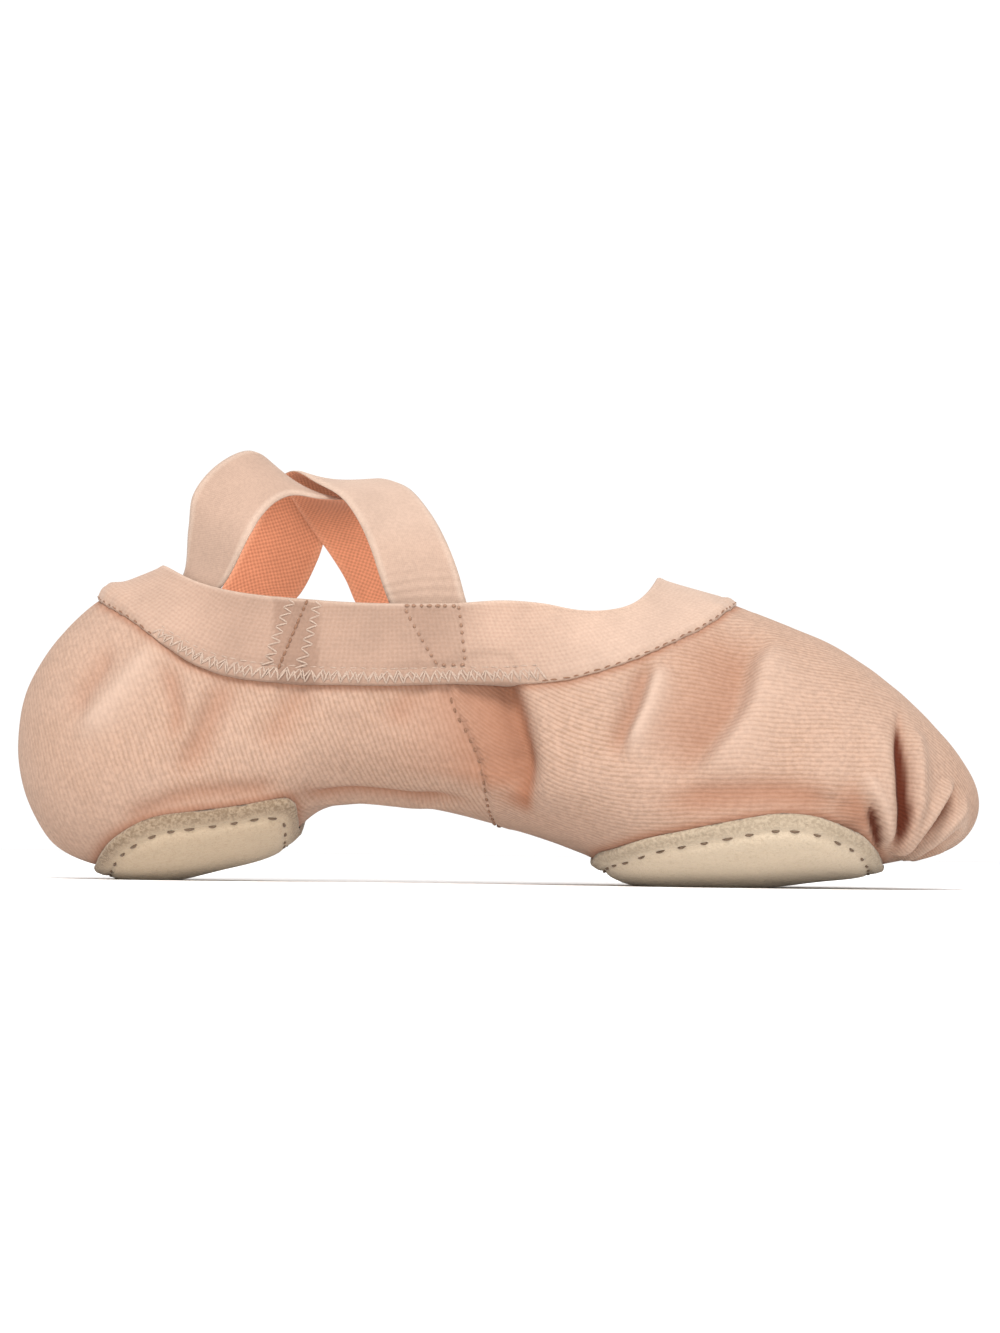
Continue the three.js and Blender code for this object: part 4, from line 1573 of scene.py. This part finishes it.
        # Painted shade along the band's side between the straps.
        stretched = ease((at - 0.15) / 0.09) * ease((0.5 - at) / 0.08)
        strip = ease((at - self.loose[0]) / 0.02) * ease((self.loose[1] - at) / 0.04)
        strip = strip * ease((0.2 - across) / 0.03)
        joint_grey, side_shade_grey, strip_grey, box_grey = self.greys
        total = np.maximum(joint_grey * joint, np.maximum(side_shade_grey * stretched, strip_grey * strip))
        for back, front, side in self.boxes:
            slant = self.box_slant * np.clip((0.95 - across) / 0.73, 0, 1)
            box = self.between((turn, angle), back + slant, front, side) * ease((across - 0.2) / 0.05)
            total = np.maximum(total, (total + box_grey) * box)
        return total

    def pale(self, at: Array, across: Array) -> Array:
        """How pale the band is at its free edge, and at the throat, where the paleness is a painted
        highlight, from 0 to 1.
        """
        return np.maximum(self.selvedge.over(across), self.throat_highlight * ease((at - 0.5) / 0.14))


@dataclass(frozen=True)
class StrapEnd:
    """Where a strap is sewn to the band, how far its tail leans and how it is gathered there."""

    at: float
    side: Side
    lean: float
    gather: float


@dataclass(frozen=True)
class Strap:
    """One elastic strap over the instep, by its middle line and the direction across it.

    Heart is a place inside the loop, crossing where the other strap crosses it as a share of its length, and
    crimp how far it wrinkles at its start. Lit scales the painted glow of its inner face, which painted shade
    halves near the crossing, and its outer face can take painted shade and a painted highlight that grows
    along it.
    """

    name: str
    node: str
    start: StrapEnd
    finish_end: StrapEnd
    rows: Rows
    width: float = 18.5
    thickness: float = 1.1
    gap: float = 0.3
    tails: tuple[float, ...] = (0.3, 0.65, 1.0)
    columns: int = 18
    steps: int = 14
    heart: Triple = (-45.0, 0.0, 74.0)
    bead: Swell = Swell(0.12, 0.93, 0.05)
    selvedge: Swell = Swell(1.0, 8.7, 0.7)
    crimp: float = 0.0
    crimp_pitch: float = 2.3
    crimp_reach: float = 5.5
    # Painted shade on the outer face, a painted highlight along it and the strength of the painted glow on
    # the inner face.
    outer_shade: float = 0.0
    outer_highlight: float = 0.0
    lit: float = 1.0
    crossing: float = 0.55
    crossing_reach: float = 13.0

    def sewn_end(self, band: BandPath, end: StrapEnd, place: float) -> Array:
        """Points of a sewn end at one place across the strap.

        Args:
            band: The band that carries it.
            end: Where it is sewn.
            place: Place across the strap, from -0.5 to 0.5.

        Returns:
            Points from its tail to the band's free edge.
        """
        step = 0.02
        side = end.side.value
        middle = float(band.around_at(np.array(end.at), end.side, 1.0))
        points = []
        for share in self.tails:
            ends = band.on(np.array([middle - step, middle + step]), share, 0.0)
            span = np.linalg.norm(ends[0] - ends[1])
            shift = end.lean * (1 - share) / (1 - self.tails[0])
            ahead = middle - side * (place * end.gather * self.width + shift) * 2 * step / span
            points.append(band.on(np.array(ahead), share, -(self.thickness + self.gap) / 2))
        return np.array(points)

    def surface(self, band: BandPath) -> Array:
        """The strap's middle surface, rows along it and columns across it."""
        rows = np.array(self.rows)
        across = unit(rows[:, 3:6])
        columns = []
        for place in np.linspace(-0.5, 0.5, self.columns + 1):
            free = rows[:, :3] + across * place * self.width
            first, last = (self.sewn_end(band, end, place) for end in (self.start, self.finish_end))
            columns.append(centripetal(np.vstack([first, free, last[::-1]]), self.steps))
        return np.stack(columns, 1)

    def build(self, band: BandPath, outside: Material, inside: Material) -> None:
        """Builds the strap.

        Args:
            band: The band that carries it.
            outside: Material of its outer face and edges.
            inside: Material of its inner face.
        """
        middle = self.surface(band)
        normal = unit(np.cross(np.gradient(middle, axis=0), np.gradient(middle, axis=1)))
        if np.sum(normal * (middle - np.array(self.heart))) < 0:
            normal = -normal
        share = np.linspace(-1, 1, self.columns + 1)
        rim = np.sqrt(np.clip(1 - np.abs(share) ** 14, 0.04, 1))
        half = self.thickness / 2 * (rim + self.bead.over(np.abs(share)))
        arcs = arc_lengths(middle[:, self.columns // 2])[:, None]
        start = arcs[len(self.tails) * self.steps, 0]
        wrinkle = np.sin(2 * np.pi * (arcs + 0.9 * share**2) / self.crimp_pitch)
        wrinkle = wrinkle * Swell(1.0, start, self.crimp_reach).over(arcs)
        middle = middle + normal * (self.crimp * wrinkle)[..., None]
        outer = middle + normal * half[:, None]
        inner = middle - normal * half[:, None]
        loops = np.concatenate([outer, inner[:, ::-1]], 1)
        faces = tube_faces(loops, False)
        lowest = np.array([min(face) % loops.shape[1] for face in faces])
        highest = np.array([max(k % loops.shape[1] for k in face) for face in faces])
        own = ((lowest > self.columns) & (highest <= 2 * self.columns + 1)).astype(int)
        own[-2:] = 0
        lengths = np.concatenate([share, share[::-1]]) * self.width / 2
        lengths = np.broadcast_to(lengths, loops.shape[:2])
        maps = {"elastic_weave": np.stack([np.broadcast_to(arcs, lengths.shape), lengths], -1)}
        outside_only = np.repeat([1.0, 0.0], self.columns + 1)
        crossing_shade = Swell(1.0, self.crossing * arcs[-1], self.crossing_reach).over(arcs)
        # Painted highlight growing along the outer face, painted shade on the outer face, and painted shade
        # that dims the inner face's painted glow near the crossing.
        outer_highlight = self.outer_highlight * outside_only * ease((arcs - start - 4) / 14)
        marks = {
            "selvedge": np.maximum(self.selvedge.over(np.abs(lengths)), outer_highlight),
            "doubled_and_shade": np.broadcast_to(self.outer_shade * outside_only, lengths.shape),
            "lit": np.broadcast_to(self.lit * (1 - 0.5 * crossing_shade), lengths.shape),
        }
        finishes = [outside, inside]
        Piece(self.name, loops, faces, Slot.ELASTIC, finishes, (self.node,), marks, maps, own).make()


@dataclass(frozen=True)
class SolePatch:
    """A suede patch under the heel or the forefoot, pared thin at its rim and sewn round."""

    last: Last
    relief: Relief
    name: str
    node: str
    outline: Rows
    seam_inset: float
    stitch_pitch: float
    stitch_length: float = 2.4
    suede: float = 2.0
    gap: float = 0.3
    even_rim: float = 8.0
    puff: Swell = Swell(0.12, 2.4, 1.2)
    groove_depth: float = 0.5
    groove_breadth: float = 0.8
    rough_rim: float = 0.22
    columns: int = 220
    rings: int = 26

    def contour(self) -> Array:
        """The patch's outline laid flat.

        Returns:
            Closed line of places along X and round the girth from the sole's middle.
        """
        table = np.array(self.outline)
        rows = np.linspace(0, len(table) - 1, 161)
        knots = np.arange(len(table), dtype=float)
        at, height = (read_rows(knots, table[:, k], rows) for k in range(2))
        turn = self.last.turn(at)
        angle = self.last.angle_at(turn, height * self.last.instep)
        far = np.stack([self.last.length * (at - 0.5), self.reach(turn, angle)], -1)
        loop = np.vstack([far, far[-2:0:-1] * [1, -1]])
        loop = np.vstack([loop, loop[:1]])
        arcs = arc_lengths(loop)
        loop = at_lengths(loop, arcs, np.linspace(0, arcs[-1], self.columns, endpoint=False))
        for _ in range(3):
            loop = (np.roll(loop, 1, 0) + 2 * loop + np.roll(loop, -1, 0)) / 4
        return loop

    def reach(self, turn: Array, angle: Array) -> Array:
        """Length round the girth from the sole's middle."""
        return self.last.girth(turn, angle) - self.last.girth(turn, np.full_like(turn, np.pi))

    def spots(self, flat: Array) -> tuple[Array, Array]:
        """Turns and angles of flat places under the sole.

        Args:
            flat: Places along X and round the girth.

        Returns:
            Turns and angles.
        """
        turn = self.last.turn(flat[..., 0] / self.last.length + 0.5)
        angles = np.linspace(np.pi, np.pi / 3, 81)
        wide = (turn.size, len(angles))
        grid = self.last.girth(turn.ravel()[:, None] + 0 * angles, np.broadcast_to(angles, wide))
        grid = grid - grid[:, :1]
        reach = np.abs(flat[..., 1]).ravel()
        spread = np.array([np.interp(r, row, np.pi - angles) for r, row in zip(reach, grid)])
        return turn, np.pi + spread.reshape(turn.shape) * -np.sign(flat[..., 1])

    @staticmethod
    def spokes(loop: Array) -> tuple[Array, Array, Array]:
        """The middle of an outline, the lines from it to the outline and their lengths."""
        centre = np.array([(loop[:, 0].min() + loop[:, 0].max()) / 2, 0.0])
        return centre, loop - centre, np.linalg.norm(loop - centre, axis=-1)

    def inset(self, distance: Array) -> Array:
        """Flat places at distances inside the outline, one ring of columns each.

        Args:
            distance: Distances. The rings are even near the rim and shrink to one point further in.

        Returns:
            Places along X and round the girth.
        """
        centre, out, length = self.spokes(self.contour())
        distance = np.asarray(distance)[..., None]
        near = np.minimum(distance, self.even_rim)
        share = (1 - near / length) * (1 - (distance - near) / (length.max() - self.even_rim))
        return centre + out * share[..., None]

    def rim_line(self) -> FoldLine:
        """The outline on the last."""
        flat = self.inset(np.zeros(1))[0]
        turn, angle = self.spots(np.vstack([flat, flat[:1]]))
        return FoldLine(self.last, np.stack([turn, angle], -1), 1.0)

    def rise(self, distance: Array) -> Array:
        """Height of the outer face over the canvas at a distance inside the outline."""
        edge = np.sqrt(np.clip(1 - (1 - np.clip(distance / 0.6, 0, 1)) ** 2, 0, 1))
        body = self.suede * (0.7 * edge + 0.3 * ease(distance / 8))
        groove = Swell(self.groove_depth, self.seam_inset, self.groove_breadth)
        return self.gap + body + self.puff.over(distance) - groove.over(distance)

    def covers(self, turn: Array, angle: Array) -> Array:
        """Whether places on the last lie under the patch.

        Args:
            turn: Turns along the last, in one row.
            angle: Angles from the crown.

        Returns:
            One truth value for each place.
        """
        along = self.last.length * (self.last.at(turn) - 0.5)
        outline = self.contour()
        outline = outline[outline[:, 1] > 0]
        outline = outline[np.argsort(outline[:, 0])]
        highest = np.interp(along, outline[:, 0], outline[:, 1], -1, -1)
        return self.reach(turn, angle) < highest - 1.0

    def face(self, distance: Array, height: Array) -> tuple[Array, Array]:
        """A face of the patch.

        Args:
            distance: Distances inside the outline.
            height: Heights over the canvas there.

        Returns:
            Points, one ring for each distance, and their outward directions.
        """
        turn, angle = self.spots(self.inset(distance))
        base = self.last.point(turn, angle)
        normal = self.last.normal(turn, angle)
        keep = np.exp(-np.asarray(distance) / 4)[:, None]
        cloth = self.relief.heights(base.reshape(-1, 3)).reshape(turn.shape)
        sway = np.clip(cloth, -0.6, 0.7) * keep
        points = base + normal * (np.asarray(height)[:, None] + sway)[..., None]
        points[..., 2] = np.maximum(points[..., 2], 0)
        return points, normal

    def build(self, finish: Material) -> None:
        """Builds the patch.

        Args:
            finish: Its material.
        """
        deepest = float(self.spokes(self.contour())[2].max())
        rim = np.array([0.0, 0.08, 0.25, 0.6, 1.2, 0.45 * self.seam_inset])
        seam = self.seam_inset + np.array([-1.5, -0.9, -0.5, 0.0, 0.5, 0.9, 1.7, 2.7])
        rest = np.linspace(self.even_rim, deepest, self.rings - len(rim) - len(seam))
        outside = np.concatenate([rim, seam, rest])
        inside = np.array([0.0, 1.0, 4.0, 12.0, deepest])
        outer, _ = self.face(outside, self.rise(outside))
        inner, _ = self.face(inside, np.full(len(inside), self.gap))
        frayed = np.exp(-outside / 2.5)[:, None, None]
        outer += self.rough_rim * wander(outer, 1.3, 2.3)[..., None] * frayed
        outer[..., 2] = np.maximum(outer[..., 2], 0)
        grid = np.concatenate([outer[::-1], inner], 0)
        points = grid.reshape(-1, 3)
        index = np.arange(len(points)).reshape(grid.shape[:2])
        index[0], index[-1] = index[0, 0], index[-1, 0]
        used, faces = prune(facing_out(points, skin(np.hstack([index, index[:, :1]]))))
        inward = np.concatenate([outside[::-1], np.zeros(len(inside))])
        rimmed = np.exp(-((inward / (0.75 * self.seam_inset)) ** 4))
        rimmed = np.broadcast_to(rimmed[:, None], grid.shape[:2]).ravel()
        tread = np.exp(-np.maximum(points[:, 2] - 0.4, 0) / 1.6)
        marks = {"rim": rimmed[used], "tread": tread[used]}
        Piece(self.name, points[used], faces, Slot.SUEDE, [finish], (self.node,), marks).make()

    def stitch(self, stitcher: Stitcher, finish: Material, seed: int) -> None:
        """Sews the patch round with running stitches.

        Args:
            stitcher: Lays the stitches.
            finish: The thread's material.
            seed: Sets the small unevenness.
        """
        distance = np.array([self.seam_inset])
        line, normal = self.face(distance, self.rise(distance) + 0.12)
        line = np.vstack([line[0], line[0][:1]])
        ups = np.vstack([normal[0], normal[0][:1]])
        line[:, 2] = np.maximum(line[:, 2], 0.25)
        points, faces = stitcher.row(line, ups, self.stitch_pitch, self.stitch_length, seed)
        points[:, 2] = np.maximum(points[:, 2], 0.02)
        sew(self.name + "_stitches", [(points, faces)], Slot.SUEDE, finish)


@dataclass(frozen=True)
class Insole:
    """The cotton sheet that lines the floor of the slipper."""

    last: Last
    relief: Relief
    offset: float = 1.5
    sheet: float = 1.5
    rise: float = 8.0
    rounding: float = 0.35
    turns: Pair = (0.1311, 0.8689)
    stations: int = 90
    columns: int = 28

    def build(self, finish: Material) -> None:
        """Builds the insole.

        Args:
            finish: Its material.
        """
        share = (np.arange(self.stations) + 0.5) / self.stations
        back, front = self.turns
        turn = (back + (front - back) * np.linspace(0, 1, self.stations))[:, None]
        _, sole, widest, _, _ = self.last.section(turn)
        drop = 1 - self.rise * np.sin(np.pi * share)[:, None] ** self.rounding / (widest - sole)
        spread = np.arccos(signed_power(drop, self.last.lower_fullness / 2))
        place = np.linspace(-1, 1, self.columns + 1)
        angle = np.pi + spread * place
        turn = np.broadcast_to(turn, angle.shape)
        base = self.last.point(turn, angle)
        normal = self.last.normal(turn, angle)
        sway = np.minimum(self.relief.heights(base.reshape(-1, 3)).reshape(angle.shape), 0)
        rim = np.sqrt(np.clip(1 - np.abs(place) ** 20, 0.05, 1))
        under = base + normal * (sway - self.offset - self.sheet * (1 - rim) / 2)[..., None]
        over = base + normal * (sway - self.offset - self.sheet * (1 + rim) / 2)[..., None]
        loops = np.concatenate([over, under[:, ::-1]], 1)
        cloth = np.stack([base[..., 0], self.last.girth(turn, angle) * np.sign(place)], -1)
        maps = {"lining_cloth": np.concatenate([cloth, cloth[:, ::-1]], 1)}
        faces = tube_faces(loops, False)
        Piece("cotton_insole", loops, faces, Slot.LINING, [finish], ("insole",), {}, maps).make()


@dataclass(frozen=True)
class Sewing:
    """The seams that show: the band's edge, its joint, the strap ends and the seam across the middle.

    Places along are shares of the slipper's length. A row of the zigzags gives its two places
    across the band, its pitch and its seed, a row of the joint its two places along and its seed,
    and a row of the tight seams where it ends, its pitch and its seed.
    """

    collar: CollarBand
    relief: Relief
    stitcher: Stitcher
    fine: Stitcher
    heavy: Stitcher
    loose_ends: Pair = (0.152, 0.545)
    zigzags: Rows = ((0.015, 0.15, 1.05, 11), (0.05, 0.17, 1.5, 15))
    joint_columns: Rows = ((0.2715, 0.2835, 41), (0.302, 0.3145, 43))
    butt_line: Pair = (0.2885, 0.2955)
    throat_end: float = 0.54
    back_end: float = 0.152
    box_heights: tuple[float, ...] = (0.955, 0.945, 0.22, 0.22)
    box_front_slant: float = 0.008

    def edge(self, pale: Material, dark: Material) -> None:
        """Sews the band to the canvas, loosely at the sides and tightly at the throat and the back.

        Args:
            pale: Thread of the loose zigzags.
            dark: Thread of the tight rows.
        """
        band, surface = self.collar.band, self.collar.surface
        loose = []
        for side in Side:
            ends = band.around_at(np.array(self.loose_ends), side, 0.1)
            around = np.linspace(ends[0], ends[1], 280)
            for low_at, high_at, pitch, seed in self.zigzags:
                low, ups = surface(around, low_at, 0.22)
                high, _ = surface(around, high_at, 0.22)
                loose.append(self.stitcher.zigzag(low, high, ups, pitch, seed + side.value))
            line, ups = surface(around, 0.19, 0.05)
            loose.append(self.fine.row(line, ups, 2.4, 1.9, 21 + side.value))
        throat, back = (
            float(band.around_at(np.array(at), Side.FAR, 0.05)) for at in (self.throat_end, self.back_end)
        )
        tight = []
        runs = ((-throat, throat, 360, 2.6, 31), (back, 2 * np.pi - back, 120, 2.8, 33))
        for first, last, count, pitch, seed in runs:
            line, ups = surface(np.linspace(first, last, count), 0.02, -0.08)
            tight.append(self.stitcher.row(line, ups, pitch, 1.9, seed))
        sew("band_edge_stitches", loose, Slot.ELASTIC, pale)
        sew("throat_edge_stitches", tight, Slot.ELASTIC, dark)

    def joint(self, pale: Material, dark: Material) -> None:
        """Sews the band's two ends together on the near side.

        Args:
            pale: Thread of the two zigzags.
            dark: Thread of the line where the ends meet.
        """
        surface = self.collar.surface

        def near(at: float) -> Array:
            """Angle round the collar of a place along the near side."""
            return self.collar.band.around_at(np.array(at), Side.NEAR, 0.6)

        across = np.linspace(0.16, 0.975, 60)
        columns = []
        for start, end, seed in self.joint_columns:
            low, ups = surface(near(start), across, 0.05)
            high, _ = surface(near(end), across, 0.05)
            columns.append(self.stitcher.zigzag(low, high, ups, 1.2, seed))
        around = np.linspace(*(near(at) for at in self.butt_line), 60)
        line, ups = surface(around, np.linspace(0.14, 0.985, 60), 0.0)
        sew("band_joint_stitches", columns, Slot.ELASTIC, pale)
        sew("band_joint_line", [self.heavy.row(line, ups, 1.6, 1.75, 45)], Slot.ELASTIC, dark)

    def strap_boxes(self, dark: Material) -> None:
        """Sews each strap's end to the band with a box of stitches.

        Args:
            dark: Their thread.
        """
        rows = []
        heights = self.box_heights
        for number, (back, front, side) in enumerate(self.collar.boxes):
            places = [back, front, front - self.box_front_slant, back + self.collar.box_slant]
            corners = self.collar.band.around_at(np.array(places), side, 0.6)
            for k in range(4):
                far = (k + 1) % 4
                around = np.linspace(corners[k], corners[far], 40)
                line, ups = self.collar.surface(around, np.linspace(heights[k], heights[far], 40), 0.03)
                rows.append(self.heavy.row(line, ups, 1.85, 1.2, 51 + 7 * number + k))
        sew("strap_end_stitches", rows, Slot.ELASTIC, dark)

    def middle_seam(self, dark: Material) -> None:
        """Sews the seam that joins the front and back canvas, on both sides and under the arch.

        Args:
            dark: Its thread.
        """
        rows = []
        for side in Side:
            line = self.relief.seam_line(side)
            base = line.points
            away = base + line.sides * (0.9 * -side.value)
            outward = unit(np.cross(line.sides, unit(np.gradient(base, axis=0))))
            points = away + outward * (self.relief.heights(away) + 0.12)[:, None]
            start = int(len(base) * 0.03)
            rows.append(self.heavy.row(points[start:], outward[start:], 2.7, 1.9, 81 + side.value))
        sew("middle_seam_stitches", rows, Slot.CANVAS, dark)


@dataclass(frozen=True)
class SoftLight:
    """One soft square light, by where it hangs, where it points, its width, power and colour."""

    name: str
    place: Triple
    target: Triple
    size: float
    power: float
    colour: Colour

    def hang(self) -> None:
        """Hangs the light."""
        lamp = bpy.data.lights.new(self.name, "AREA")
        lamp.shape = "SQUARE"
        lamp.size = self.size
        lamp.energy = self.power
        lamp.color = self.colour
        holder = bpy.data.objects.new(self.name, lamp)
        holder.location = self.place
        aim = Vector(self.target) - Vector(self.place)
        holder.rotation_euler = aim.to_track_quat("-Z", "Y").to_euler()
        bpy.context.scene.collection.objects.link(holder)


@dataclass(frozen=True)
class Studio:
    """The pale floor, soft lights and the camera, which stands at floor height beside the slipper."""

    camera_place: Triple = (0.0, -0.7, 0.008)
    camera_target: Triple = (0.0, 0.0, 0.0533)
    camera_roll: float = 0.74
    lens: float = 77.1
    sensor: float = 36.0
    world: float = 1.05
    floor_reach: float = 6.0
    floor_tones: tuple[Colour, Colour] = ((0.93, 0.925, 0.92), (0.95, 0.948, 0.945))
    floor_grain: float = 30.0
    lights: tuple[SoftLight, ...] = (
        SoftLight("key", (-0.1, -1.1, 1.2), (0.0, 0.0, 0.04), 0.5, 27.0, (1.0, 0.99, 0.97)),
        SoftLight("fill", (0.3, -1.7, 0.06), (0.0, 0.0, 0.02), 0.5, 15.0, (1.0, 0.985, 0.965)),
        SoftLight("top", (0.25, 0.5, 1.5), (0.0, 0.0, 0.04), 1.2, 4.0, (1.0, 1.0, 1.0)),
    )

    def build(self) -> None:
        """Sets the floor, the lights, the surroundings and the camera."""
        self.floor()
        for light in self.lights:
            light.hang()
        world = bpy.data.worlds.new("studio")
        world.use_nodes = True
        surround = world.node_tree.nodes["Background"]
        surround.inputs["Color"].default_value = (1.0, 1.0, 1.0, 1.0)
        surround.inputs["Strength"].default_value = self.world
        scene = bpy.context.scene
        scene.world = world
        scene.view_settings.view_transform = "Standard"
        self.camera()

    def floor(self) -> None:
        """Lays a wide pale floor with a faint grain."""
        mesh = bpy.data.meshes.new("studio_floor")
        size = self.floor_reach
        corners = [(-size, -size, 0), (size, -size, 0), (size, size, 0), (-size, size, 0)]
        mesh.from_pydata(corners, [], [(0, 1, 2, 3)])
        material = bpy.data.materials.new("pale_floor")
        material.use_nodes = True
        graph = Graph(material.node_tree)
        shader = graph.tree.nodes["Principled BSDF"]
        shader.inputs["Specular IOR Level"].default_value = 0.0
        shader.inputs["Roughness"].default_value = 1.0
        grain = graph.speckle(graph.node("ShaderNodeTexCoord").outputs["Object"], self.floor_grain)
        graph.feed(shader.inputs["Base Color"], graph.blend(grain, *self.floor_tones))
        mesh.materials.append(material)
        floor = bpy.data.objects.new("studio_floor", mesh)
        bpy.context.scene.collection.objects.link(floor)

    def camera(self) -> None:
        """Sets the camera at the slipper's side, with a slight roll."""
        data = bpy.data.cameras.new("camera")
        data.sensor_fit = "VERTICAL"
        data.sensor_height = self.sensor
        data.lens = self.lens
        data.clip_start = 0.01
        place = Vector(self.camera_place)
        back = (place - Vector(self.camera_target)).normalized()
        right = Vector((0, 0, 1)).cross(back).normalized()
        up = back.cross(right)
        roll = math.radians(self.camera_roll)
        rolled = right * math.cos(roll) + up * math.sin(roll)
        camera = bpy.data.objects.new("camera", data)
        axes = Matrix((rolled, back.cross(rolled), back)).transposed().to_4x4()
        camera.matrix_world = Matrix.Translation(place) @ axes
        bpy.context.scene.collection.objects.link(camera)
        bpy.context.scene.camera = camera


FOREFOOT_OUTLINE: Rows = (
    (0.6, 0.04), (0.6005, 0.1), (0.621, 0.124), (0.65, 0.155), (0.6995, 0.187), (0.7475, 0.216),
    (0.7825, 0.231), (0.817, 0.222), (0.849, 0.187), (0.874, 0.148), (0.906, 0.05),
)
HEEL_OUTLINE: Rows = (
    (0.078, 0.02), (0.1025, 0.112), (0.1255, 0.161), (0.157, 0.2), (0.1965, 0.22), (0.237, 0.238),
    (0.2665, 0.257), (0.284, 0.267), (0.292, 0.25), (0.2925, 0.198), (0.286, 0.09),
)
UNDER_STRAP = Strap(
    "elastic_strap_under", "strap_under",
    StrapEnd(0.187, Side.NEAR, -5, 0.66), StrapEnd(0.4, Side.FAR, 5, 1),
    (
        (-68, -16.5, 84, 0.85, -0.51, -0.13), (-66.2, -15.5, 90.5, 0.92, -0.25, -0.3),
        (-61.8, -12.6, 96.3, 0.8, -0.3, -0.52), (-56.1, -7.7, 99.4, 0.6, -0.48, -0.64),
        (-50.1, -3.6, 97, 0.62, -0.64, -0.42), (-44.2, 3, 93.8, 0.8, -0.58, -0.02),
        (-39.6, 10.4, 90.8, 0.88, -0.3, 0.22), (-35, 16.4, 86, 0.91, -0.12, 0.36),
        (-31, 19.8, 80, 0.91, -0.05, 0.41), (-28, 21.6, 73.6, 0.92, -0.05, 0.39),
    ),
    # Painted shade on the outer face and a stronger painted glow on the inner face.
    outer_shade=0.2, lit=1.35,
)
OVER_STRAP = Strap(
    "elastic_strap_over", "strap_over",
    StrapEnd(0.427, Side.NEAR, 3, 1), StrapEnd(0.222, Side.FAR, -8, 0.9),
    (
        (-19.4, -21.6, 73, 0.99, 0, 0.12), (-22.4, -19.6, 81.2, 0.98, 0.1, 0.06),
        (-26.2, -15.6, 88.6, 0.94, 0.3, 0.1), (-31.4, -9, 95, 0.82, 0.5, 0.2),
        (-38.6, -1, 98.3, 0.72, 0.68, 0.12), (-45.4, 7.2, 98.2, 0.74, 0.6, -0.32),
        (-50.6, 13.4, 94, 0.8, 0.45, -0.42), (-54.2, 18, 85.8, 0.83, 0.16, -0.54),
        (-59, 20.4, 77, 0.83, 0.06, -0.56),
    ),
    # Painted highlight on the outer face.
    crimp=0.16, outer_highlight=0.3,
)


def main() -> None:
    """Builds the slipper's pieces in order, then the studio."""
    logging.basicConfig(level=logging.INFO, format="%(name)s: %(message)s")
    effects = Effects()
    canvas = CanvasFinish(effects).material()
    elastic = ElasticFinish(
        effects, "band_elastic", (0.326, 0.221, 0.167), (0.302, 0.199, 0.148), (0.415, 0.310, 0.248),
        relief=0.04,
    ).material()
    webbing = ElasticFinish(
        effects, "strap_elastic", (0.320, 0.222, 0.170), (0.302, 0.205, 0.155), (0.415, 0.318, 0.258),
        pitch=(0.45, 0.45), relief=0.03,
    ).material()
    # Inner face of the straps, with a painted glow.
    reverse = ElasticFinish(
        effects, "strap_reverse", (0.340, 0.133, 0.072), (0.236, 0.079, 0.040), (0.430, 0.215, 0.134),
        pitch=(1.25, 1.25), slant=True, relief=0.12, glow=(0.425, 0.167, 0.092),
    ).material()
    fore_suede = SuedeFinish(
        effects, "forefoot_suede", (0.440, 0.358, 0.268), (0.330, 0.258, 0.184), (0.250, 0.196, 0.138),
        (0.430, 0.347, 0.257),
    ).material()
    heel_suede = SuedeFinish(
        effects, "heel_suede", (0.385, 0.300, 0.213), (0.270, 0.197, 0.132), (0.160, 0.110, 0.070),
        (0.370, 0.283, 0.198),
    ).material()
    lining = LiningFinish(effects).material()
    pale = ThreadFinish(effects, "pale_thread", (0.375, 0.285, 0.232), (0.270, 0.186, 0.142)).material()
    brown = ThreadFinish(effects, "brown_thread", (0.250, 0.145, 0.098), (0.180, 0.098, 0.062)).material()
    dark = ThreadFinish(effects, "dark_thread", (0.215, 0.112, 0.070), (0.130, 0.064, 0.038)).material()
    sole_thread = ThreadFinish(
        effects, "sole_thread", (0.150, 0.100, 0.065), (0.075, 0.048, 0.032),
    ).material()

    last = Last()
    band = BandPath(last)
    relief = Relief(last, band)
    collar = CollarBand(band, relief)
    forefoot = SolePatch(
        last, relief, "forefoot_suede_patch", "forefoot_sole", FOREFOOT_OUTLINE, 3.6, 5.4,
    )
    heel = SolePatch(last, relief, "heel_suede_patch", "heel_sole", HEEL_OUTLINE, 3.9, 4.9)
    CanvasUpper(last, band, relief).build(canvas, [forefoot, heel])
    forefoot.build(fore_suede)
    heel.build(heel_suede)
    forefoot.stitch(Stitcher(0.38), sole_thread, 5)
    heel.stitch(Stitcher(0.38), sole_thread, 6)
    Insole(last, relief).build(lining)
    collar.build(elastic)
    UNDER_STRAP.build(band, webbing, reverse)
    OVER_STRAP.build(band, webbing, reverse)
    sewing = Sewing(collar, relief, Stitcher(0.23), Stitcher(0.17, 6, 5), Stitcher(0.4))
    sewing.edge(pale, dark)
    sewing.joint(pale, dark)
    sewing.strap_boxes(brown)
    sewing.middle_seam(dark)
    Studio().build()


if __name__ == "__main__":
    main()
